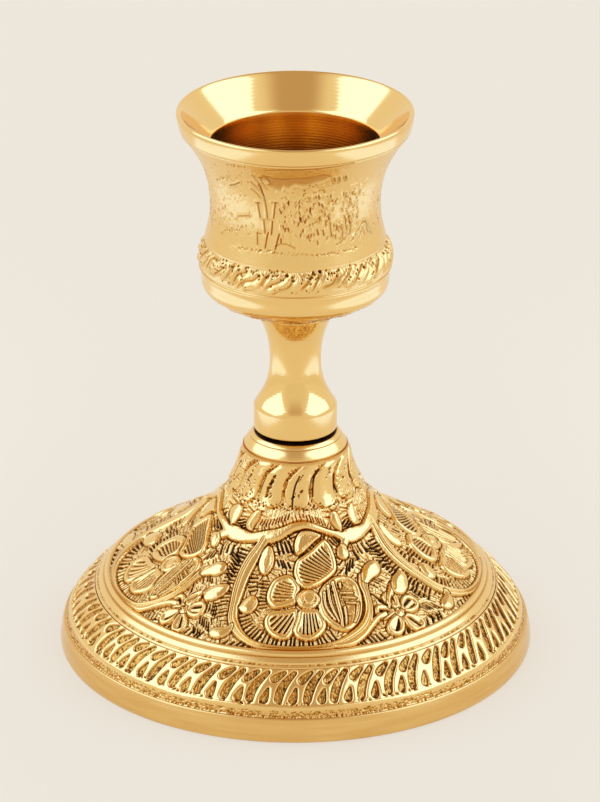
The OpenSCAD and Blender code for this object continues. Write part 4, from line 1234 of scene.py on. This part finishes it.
def cup_body(settings):
    """The candle cup: chased foot, polished band, core of the wall, flared lip and bored socket."""
    rng = np.random.default_rng(settings.seed + 5)
    foot, belly, line, wall = cup_profile()
    skin = Turned()
    hole, hole_z = TAPPED_R, CUP_Z + 8.4
    skin.ring(0.0, hole_z, 1, 0.3, 0.5)
    skin.line([(hole, hole_z), (hole, CUP_Z + 0.4), (hole + 0.4, CUP_Z), (6.5, CUP_Z)], CUP_RING, 0.2, 0.4)
    under = resampled(foot, 0.35)
    cells = (len(under), CUP_RING)
    rough = 0.14 * soft_noise(cells, (14, 60), rng) + 0.1 * soft_noise(cells, (40, 150), rng)
    for k, (point, normal, bumps) in enumerate(zip(under, outward(under), rough)):
        hold = ease(k, 2, 5)
        leaf = 0.22 * np.cos(turns(CUP_RING) * 20 + 0.15 * k) * hold * (1 - ease(point[0], 20, 21.5))
        height = (bumps + leaf) * hold
        skin.raised((point, normal), height, CUP_RING, ease(-height, -0.02, 0.3) * 0.8, 0.7 * hold)
    skin.line(belly, CUP_RING)
    skin.line(line, CUP_RING, 0.25, 0.3)

    core = resampled(wall, 1.6)
    for spot in zip(core, outward(core)):
        skin.raised(spot, -0.9, CUP_RING, *UNSEEN_AND_GAP_SHADE)
    rim, top = RIM_R, RIM_Z
    skin.line([(LIP_R - 0.12, LIP_Z + 0.18), (LIP_R + 0.05, LIP_Z + 0.34)], CUP_RING)
    skin.line(bulged((LIP_R + 0.25, LIP_Z + 0.42), (rim, top - 0.75), 0.08, 8), CUP_RING)
    skin.line([(rim - 0.03, top - 0.45), (rim - 0.14, top - 0.2), (rim - 0.32, top - 0.05), (rim - 0.55, top),
               (rim - 0.8, top - 0.06), (rim - 1.05, top - 0.25)], CUP_RING)
    mouth, floor = CUP_MOUTH_Z, CUP_FLOOR_Z
    skin.line(bulged((rim - 1.2, top - 0.4), (20.9, mouth + 0.2), -0.15, 14), CUP_RING, 0.0, 0.1)
    bore = resampled([(20.55, mouth - 1.5), (SOCKET_R, mouth - 14), (SOCKET_R, floor + 0.6)], 2.0)
    skin.line([(20.72, mouth - 0.05), (20.6, mouth - 0.6), *bore], CUP_RING, 0.12, 0.25)
    skin.line([(SOCKET_R - 0.2, floor + 0.15), (SOCKET_R - 0.6, floor), (14, floor), (8, floor), (3, floor)],
              CUP_RING, 0.3, 0.5)
    skin.ring(0.0, floor, 1, 0.3, 0.5)
    return skin.build("cup_body")


def cup_relief(settings):
    """The chased skin of the cup's wall: the leaf border below, the waist above."""
    wall = resampled(cup_profile()[3], 0.1)
    on_profile = surface(wall[:, 1], wall)

    def on_wall(up):
        """Point and normal at a height, also a little beyond the profile's ends."""
        (r, _), normal = on_profile(up)
        return (r, up), normal

    sheet = cup_sheet(on_wall, 102.8, 138.6, settings.seed + 6)
    return relief_rings(on_wall, sheet, 0.25, settings.relief, CUP_RELIEF_RINGS, back=0.7)


# Stem and fastening, modelled with the mesh tools

def select(piece):
    """Makes a piece the only one selected."""
    bpy.ops.object.select_all(action="DESELECT")
    bpy.context.view_layer.objects.active = piece
    piece.select_set(True)


def spun(name, section, steps):
    """A turned piece: its closed section is drawn point by point and spun round the axis."""
    bpy.ops.object.select_all(action="DESELECT")
    bpy.ops.mesh.primitive_plane_add(size=2 * MM, location=(0.0, 0.0, 0.0))
    piece = bpy.context.object
    piece.name = piece.data.name = name
    bpy.ops.object.mode_set(mode="EDIT")
    bpy.ops.mesh.select_all(action="SELECT")
    bpy.ops.mesh.merge(type="CENTER")
    section = np.asarray(section, float) * MM
    bpy.ops.transform.translate(value=(section[0, 0], 0.0, section[0, 1]))
    for step in np.diff(section, axis=0):
        bpy.ops.mesh.extrude_region_move(TRANSFORM_OT_translate={"value": (step[0], 0.0, step[1])})
    bpy.ops.mesh.select_all(action="SELECT")
    bpy.ops.mesh.spin(steps=steps, angle=2 * math.pi, use_auto_merge=True, center=(0.0, 0.0, 0.0),
                      axis=(0.0, 0.0, 1.0))
    bpy.ops.mesh.select_all(action="SELECT")
    bpy.ops.mesh.remove_doubles(threshold=0.000002)
    bpy.ops.mesh.normals_make_consistent(inside=False)
    bpy.ops.object.mode_set(mode="OBJECT")
    bpy.ops.object.shade_smooth_by_angle(angle=math.radians(38))
    return piece


def stem_section():
    """Section of the stem, closed: foot, waist, flare, rod hole, nut well and recess."""
    waist = (STEM_WAIST_R, STEM_WAIST_Z)
    low = bezier((STEM_FOOT_R, 65.0), (7.4, 69.4), (STEM_WAIST_R, 72.7), waist, 22)
    high = bezier(waist, (STEM_WAIST_R, 81.8), (7.5, 85.9), (9.8, STEM_TOP_Z - 0.3), 22)
    outside = [
        (10.15, STEM_Z), (10.35, STEM_Z + 0.06), (10.47, STEM_Z + 0.2), (STEM_FOOT_R, STEM_Z + 0.45),
        (10.52, 61.8), (STEM_FOOT_R, 64.5), (10.46, 64.82)]
    inside = [
        (9.74, STEM_TOP_Z - 0.08), (9.55, STEM_TOP_Z), (ROD_HOLE_R + 0.3, STEM_TOP_Z),
        (ROD_HOLE_R, STEM_TOP_Z - 0.3), (ROD_HOLE_R, NUT_WELL_Z), (NUT_WELL_R, NUT_WELL_Z),
        (NUT_WELL_R, NUT_WELL_LOW_Z), (6.2, SPIGOT_Z), (RECESS_R, SPIGOT_Z), (RECESS_R, STEM_Z + 0.25),
        (8.15, STEM_Z)]
    return [*outside, *low[1:], *high[1:], *inside, outside[0]]


def cut_with(piece, tool, operation):
    """Joins a tool body to a piece with a Boolean and removes the tool."""
    select(piece)
    cut = piece.modifiers.new("cut", "BOOLEAN")
    cut.operation = operation
    cut.object = tool
    cut.solver = "EXACT"
    bpy.ops.object.modifier_apply(modifier=cut.name)
    bpy.data.objects.remove(tool, do_unlink=True)


def hex_nut(name, low, high):
    """A chamfered hexagon nut with a countersunk bore."""
    beyond = 0.5
    corner = NUT_ACROSS / math.sqrt(3)
    bpy.ops.object.select_all(action="DESELECT")
    bpy.ops.mesh.primitive_cylinder_add(
        vertices=6, radius=corner * MM, depth=(high - low) * MM,
        location=(0.0, 0.0, (low + high) * MM / 2), rotation=(0.0, 0.0, math.radians(30)))
    piece = bpy.context.object
    bpy.ops.object.transform_apply(location=True, rotation=True, scale=True)
    piece.name = piece.data.name = name
    face, edge, drop = NUT_ACROSS / 2 - 0.25, corner + 0.02, 0.42
    crown = [(0.0, low), (face, low), (edge, low + drop + 0.1), (edge, high - drop - 0.1), (face, high),
             (0.0, high)]
    cut_with(piece, spun("nut_crown", crown, 96), "INTERSECT")
    sink = 3.6
    bore = [(0.0, low - beyond), (sink, low - beyond), (sink, low), (TAPPED_R, low + 0.5),
            (TAPPED_R, high - 0.5), (sink, high), (sink, high + beyond), (0.0, high + beyond)]
    cut_with(piece, spun("nut_bore", bore, 64), "DIFFERENCE")
    select(piece)
    bpy.ops.object.shade_smooth_by_angle(angle=math.radians(20))
    return piece


def washer(name, low, high, hole, outer, bevel):
    """A flat ring with its edges taken off."""
    inner_bevel = 0.1
    return spun(name, [
        (hole, low + inner_bevel), (hole + inner_bevel, low), (outer - bevel, low), (outer, low + bevel),
        (outer, high - bevel), (outer - bevel, high), (hole + inner_bevel, high), (hole, high - inner_bevel),
        (hole, low + inner_bevel)], 96)


def split_washer(name, low, high):
    """A washer with a slanted split."""
    piece = washer(name, low, high, hole=3.35, outer=5.9, bevel=0.15)
    bpy.ops.object.select_all(action="DESELECT")
    bpy.ops.mesh.primitive_cube_add(size=1.0, location=(0.006, 0.0, (low + high) * MM / 2))
    slit = bpy.context.object
    slit.scale = (0.008, 0.0012, 0.006)
    bpy.ops.object.transform_apply(location=False, rotation=False, scale=True)
    slit.rotation_euler = (math.radians(12), 0.0, 0.0)
    bpy.ops.object.transform_apply(location=True, rotation=True, scale=True)
    cut_with(piece, slit, "DIFFERENCE")
    return piece


def threaded_rod(name, low, high):
    """A rod with a rolled thread, one turn to the millimetre."""
    count = 48
    root, depth, tip = 2.42, 0.56, 2.4
    turn = turns(count) / (2 * math.pi)
    skin = Turned()
    skin.ring(0.0, low, 1)
    for z in (low, low + 0.02, *np.arange(low + 0.1, high - 0.05, 0.125), high - 0.02, high):
        place = (z - turn) % 1.0
        tooth = np.clip(1.5 - np.abs(place - 0.5) * 3.6, 0.0, 1.0)
        limit = tip + np.minimum(z - low, high - z)
        skin.ring(np.minimum(root + depth * tooth, limit), z, count, 0.0, 0.3)
    skin.ring(0.0, high, 1)
    return skin.build(name)


# Stage

TENT_WARM, TENT_PALE = (1.0, 0.77, 0.56, 1.0), (1.0, 0.97, 0.9, 1.0)
# The first colour below is that of the floor strips that glow only in the metal's reflections: a painted
# reflection.
GLINT_COLOUR, SOFTBOX_COLOUR, WASH_COLOUR = (0.14, 0.4, 1.0), (0.36, 0.72, 1.42), (0.85, 1.0, 1.3)
CAMERA_LENS, CAMERA_SENSOR, CAMERA_ASIDE, CAMERA_DIP = 197.34, 36.0, 0.00115, 23.684


def stage_material(name, colour, glow, glints):
    """Plain pale floor, lifted by an even glow, with a blue strip on each side that glows only for the metal:
    a painted reflection.
    """
    mat = bpy.data.materials.new(name)
    mat.use_nodes = True
    tree = mat.node_tree
    shade = tree.nodes["Principled BSDF"]
    rays = wire(tree, "LightPath")
    glossy = rays.outputs["Is Glossy Ray"]
    seen = reckon(tree, "MAXIMUM", rays.outputs["Is Camera Ray"], glossy)
    feed(tree, shade, {
        "Base Color": (*colour, 1.0), "Roughness": 0.9, "Specular IOR Level": 0.1,
        "Emission Color": TENT_PALE, "Emission Strength": reckon(tree, "MULTIPLY", seen, glow)})

    # Painted reflection: two blue strips, one at each side, glow on the floor for glossy rays only.
    where = wire(tree, "SeparateXYZ", {"Vector": wire(tree, "TexCoord").outputs["Object"]})
    side = reckon(tree, "ABSOLUTE", where.outputs["X"])
    black = (0.0, 0.0, 0.0)
    stops = [(0.13, black), (0.17, GLINT_COLOUR), (0.26, GLINT_COLOUR), (0.32, black)]
    depth = reckon(tree, "ABSOLUTE", reckon(tree, "ADD", where.outputs["Y"], 0.04))
    ends = ranged(tree, depth, 1.0, 0.0, 0.13, 0.19, "SMOOTHSTEP")
    lit = reckon(tree, "MULTIPLY", reckon(tree, "MULTIPLY", ends, glossy), glints)
    glint = wire(tree, "Emission", {"Color": ramp(tree, side, stops, "EASE"), "Strength": lit})
    both = wire(tree, "AddShader", {0: shade.outputs["BSDF"], 1: glint.outputs["Emission"]})
    feed(tree, tree.nodes["Material Output"], {"Surface": both.outputs["Shader"]})
    return mat


def softbox(name, place, aim, size, power, colour):
    """A rectangular studio lamp that points at a place on the object."""
    lamp = bpy.data.lights.new(name, "AREA")
    lamp.shape = "RECTANGLE"
    lamp.size, lamp.size_y = size
    lamp.energy = power
    lamp.color = colour
    holder = bpy.data.objects.new(name, lamp)
    bpy.context.scene.collection.objects.link(holder)
    away = np.array(place, float) - np.array(aim, float)
    flat = math.hypot(away[0], away[1])
    holder.location = place
    holder.rotation_euler = (math.atan2(flat, away[2]), 0.0, math.atan2(away[0], -away[1]))
    return holder


def light_tent(name, walls, gap, ceiling):
    """A pale tent all round the object, dimmer in its seam overhead and in the gap that faces the camera."""
    world = bpy.data.worlds.new(name)
    world.use_nodes = True
    tree = world.node_tree
    tree.nodes.clear()
    way = wire(tree, "SeparateXYZ", {"Vector": wire(tree, "TexCoord").outputs["Generated"]})
    side = reckon(tree, "ABSOLUTE", way.outputs["X"])
    turn = reckon(tree, "ARCTAN2", side, reckon(tree, "MULTIPLY", way.outputs["Y"], -1.0))
    wall = ranged(tree, turn, gap, walls, math.radians(30), math.radians(48), "SMOOTHSTEP")
    seam = ranged(tree, side, ceiling, walls, 0.18, 0.44, "SMOOTHSTEP")
    low, high = math.sin(math.radians(22)), math.sin(math.radians(50))
    bright = ranged(tree, way.outputs["Z"], wall, seam, low, high, "SMOOTHSTEP")
    lit = ranged(tree, bright, 0.0, 1.0, ceiling, walls)
    tint = wire(tree, "Mix", {"A": TENT_WARM, "B": TENT_PALE, "Factor": lit}, data_type="RGBA")
    cloth = wire(tree, "Background", {"Color": tint.outputs["Result"], "Strength": bright})
    wire(tree, "OutputWorld", {"Surface": cloth.outputs["Background"]})
    return world


# Settings

def shown_colour(name, description, default):
    """A colour for the panel."""
    return bpy.props.FloatVectorProperty(
        name=name, description=description, subtype="COLOR", size=3, default=default, min=0.0, max=1.0)


def shown_amount(name, description, default, top, low=0.0, **kind):
    """A number for the panel."""
    return bpy.props.FloatProperty(
        name=name, description=description, default=default, min=low, max=top, **kind)


LENGTH = {"unit": "LENGTH", "subtype": "DISTANCE"}


class CandlestickMetal(bpy.types.PropertyGroup):
    """Finish and carving of the brass."""
    bright: shown_colour("Polished brass", "Colour of the polished high places", (0.93, 0.63, 0.235))
    # The amber and dark colours paint patina, and also painted shade: the gap under the stem, the crease
    # under the collar, one side of the flutes.
    amber: shown_colour("Amber patina", "Colour of the shallow recesses", (0.6, 0.26, 0.03))
    dark: shown_colour("Dark patina", "Colour of the deepest cuts", (0.03, 0.008, 0.0015))
    relief: shown_amount("Relief", "Height of the carving as a share of the real", 1.0, 1.3, subtype="FACTOR")
    seed: bpy.props.IntProperty(
        name="Hand", description="Seed of the small irregularities of hand work", default=11, min=0, max=999)


class CandlestickStage(bpy.types.PropertyGroup):
    """Floor, light and camera."""
    floor: shown_colour("Floor", "Colour of the floor and backdrop", (0.44, 0.425, 0.4))
    key: shown_amount("Softboxes", "Power of each side softbox", 2.05, 200.0, unit="POWER")
    tent: shown_amount("Tent walls", "Brightness of the tent walls", 0.89, 3.0)
    gap: shown_amount("Gap", "Brightness of the tent's gap towards the camera", 0.83, 3.0)
    ceiling: shown_amount("Tent ceiling", "Brightness of the tent's seam overhead", 0.57, 3.0)
    glow: shown_amount("Floor glow", "Brightness of the floor for the camera and the metal", 0.5, 1.0)
    # Painted reflection: the glowing floor strips that only the metal sees.
    glints: shown_amount("Floor cards", "Brightness of the cards that the metal reflects", 0.9, 5.0)
    wash: shown_amount("Floor lamps", "Power of each lamp that washes the floor", 0.06, 50.0, unit="POWER")
    distance: shown_amount("Camera distance", "Level distance from the axis", 1.0123, 5.0, 0.4, **LENGTH)
    height: shown_amount("Camera height", "Height above the table", 0.5092, 3.0, **LENGTH)


# Operators

class CANDLESTICK_OT_base(bpy.types.Operator):
    """Model the base casting with its scroll field, fluted border and neck"""
    bl_idname = "candlestick.base"
    bl_label = "Base casting"
    bl_options = {"REGISTER", "UNDO"}

    def execute(self, context):
        metal = context.scene.candlestick_metal
        polished = brass("base_polished_brass", metal, rough=0.17, dull_rough=0.4, lines=0.04)
        finish_piece(base_body(metal), polished, "base", "base_brass", "base_casting")
        chased = brass("base_chased_brass", metal, rough=0.13, dull_rough=0.19)
        for k, (draw, place, low, high, ground, warp, rings) in enumerate(BASE_RELIEFS, 1):
            sheet = draw(place, low, high, metal.seed + k)
            for piece in relief_rings(place, sheet, ground, metal.relief, rings, warp):
                finish_piece(piece, chased, "base", "base_brass")
        return {"FINISHED"}


class CANDLESTICK_OT_stem(bpy.types.Operator):
    """Model the turned stem"""
    bl_idname = "candlestick.stem"
    bl_label = "Stem"
    bl_options = {"REGISTER", "UNDO"}

    def execute(self, context):
        metal = context.scene.candlestick_metal
        piece = spun("stem_spool", stem_section(), 160)
        spots = np.zeros(len(piece.data.vertices) * 3)
        piece.data.vertices.foreach_get("co", spots)
        spots = spots.reshape(-1, 3) / MM
        # The foot's underside and recess, in the gap above the base, are painted all dark and dull: a painted
        # shadow.
        gap_shadow = (spots[:, 2] < STEM_Z + 3.0) & (np.hypot(spots[:, 0], spots[:, 1]) < STEM_FOOT_R - 0.2)
        for mark in ("patina_and_shade", "matte"):
            layer = piece.data.attributes.new(mark, "FLOAT", "POINT")
            layer.data.foreach_set("value", gap_shadow.astype(np.float32))
        turned = brass("stem_turned_brass", metal, rough=0.1, dull_rough=0.3, lines=0.05, grit=0.06)
        finish_piece(piece, turned, "stem", "stem_brass", "stem")
        return {"FINISHED"}


class CANDLESTICK_OT_cup(bpy.types.Operator):
    """Model the candle cup with its chased wall and bored socket"""
    bl_idname = "candlestick.cup"
    bl_label = "Candle cup"
    bl_options = {"REGISTER", "UNDO"}

    def execute(self, context):
        metal = context.scene.candlestick_metal
        turned = brass("cup_turned_brass", metal, rough=0.1, dull_rough=0.36, lines=0.035, grit=0.02)
        finish_piece(cup_body(metal), turned, "cup", "cup_brass", "candle_cup")
        chased = brass("cup_chased_brass", metal, rough=0.26, dull_rough=0.4)
        for piece in cup_relief(metal):
            finish_piece(piece, chased, "cup", "cup_brass")
        return {"FINISHED"}


class CANDLESTICK_OT_fasteners(bpy.types.Operator):
    """Model the tie rod, both nuts and both washers"""
    bl_idname = "candlestick.fasteners"
    bl_label = "Tie rod and fasteners"
    bl_options = {"REGISTER", "UNDO"}

    def execute(self, context):
        steel = zinc_steel("zinc_plated_steel")
        finish_piece(threaded_rod("tie_rod_threaded", 40.3, 98.3), steel, "cup", "steel", "tie_rod")
        finish_piece(hex_nut("lock_nut_hex", 60.9, 64.1), steel, "cup", "steel", "rod_lock_nut")
        finish_piece(hex_nut("base_nut_hex", 42.3, 47.3), steel, "base", "steel", "base_nut")
        flat = washer("washer_flat", 48.9, WEB_Z, hole=3.3, outer=6.0, bevel=0.15)
        finish_piece(flat, steel, "base", "steel", "base_washer")
        finish_piece(split_washer("washer_split", 47.3, 48.9), steel, "base", "steel", "spring_washer")
        return {"FINISHED"}


class CANDLESTICK_OT_stage(bpy.types.Operator):
    """Set the floor, the light tent, the softboxes and the camera"""
    bl_idname = "candlestick.stage"
    bl_label = "Stage"
    bl_options = {"REGISTER", "UNDO"}

    def execute(self, context):
        scene = context.scene
        stage = scene.candlestick_stage
        scene.view_settings.view_transform = "Standard"
        bpy.ops.object.select_all(action="DESELECT")
        bpy.ops.mesh.primitive_plane_add(size=8.0, location=(0.0, 0.0, 0.0))
        floor = context.object
        floor.name = floor.data.name = "studio_floor"
        floor.data.materials.append(stage_material("floor_paper", stage.floor, stage.glow, stage.glints))

        scene.world = light_tent("light_tent", stage.tent, stage.gap, stage.ceiling)
        for name, side in (("left", -1), ("right", 1)):
            box = softbox("softbox_" + name, (side * 0.51, -0.1, 0.43), (side * 0.22, -0.08, 0.0), (0.8, 0.6),
                          stage.key, SOFTBOX_COLOUR)
            box.visible_diffuse = False
            wash = softbox("floor_wash_" + name, (side * 0.21, -0.05, 0.3), (side * 0.2, -0.05, 0.0),
                           (0.5, 0.12), stage.wash, WASH_COLOUR)
            wash.data.spread = math.radians(40)

        camera = bpy.data.cameras.new("photo_camera")
        camera.sensor_width = CAMERA_SENSOR
        camera.lens = CAMERA_LENS
        camera.clip_start, camera.clip_end = 0.05, 30.0
        holder = bpy.data.objects.new("photo_camera", camera)
        scene.collection.objects.link(holder)
        holder.location = (CAMERA_ASIDE, -stage.distance, stage.height)
        holder.rotation_euler = (math.radians(90.0 - CAMERA_DIP), 0.0, 0.0)
        scene.camera = holder
        return {"FINISHED"}


class VIEW3D_PT_candlestick(bpy.types.Panel):
    """Lists the pieces of the candlestick"""
    bl_label = "Altar Candlestick"
    bl_idname = "VIEW3D_PT_candlestick"
    bl_space_type = "VIEW_3D"
    bl_region_type = "UI"
    bl_category = "Candlestick"

    def draw(self, context):
        layout = self.layout
        metal = context.scene.candlestick_metal
        for field in ("bright", "amber", "dark", "relief", "seed"):
            layout.prop(metal, field)
        for piece in PIECES:
            layout.operator(piece.bl_idname)
        stage = context.scene.candlestick_stage
        lights = ("key", "tent", "gap", "ceiling", "glow", "glints", "wash")
        for field in ("floor", *lights, "distance", "height"):
            layout.prop(stage, field)
        layout.operator(CANDLESTICK_OT_stage.bl_idname)


PIECES = (CANDLESTICK_OT_base, CANDLESTICK_OT_stem, CANDLESTICK_OT_cup, CANDLESTICK_OT_fasteners)
CLASSES = (CandlestickMetal, CandlestickStage, *PIECES, CANDLESTICK_OT_stage, VIEW3D_PT_candlestick)


def register():
    for cls in CLASSES:
        bpy.utils.register_class(cls)
    bpy.types.Scene.candlestick_metal = bpy.props.PointerProperty(type=CandlestickMetal)
    bpy.types.Scene.candlestick_stage = bpy.props.PointerProperty(type=CandlestickStage)


def unregister():
    del bpy.types.Scene.candlestick_stage
    del bpy.types.Scene.candlestick_metal
    for cls in reversed(CLASSES):
        bpy.utils.unregister_class(cls)


def main():
    """Builds every piece and the stage."""
    register()
    bpy.ops.candlestick.base()
    bpy.ops.candlestick.stem()
    bpy.ops.candlestick.cup()
    bpy.ops.candlestick.fasteners()
    bpy.ops.candlestick.stage()


if __name__ == "__main__":
    main()
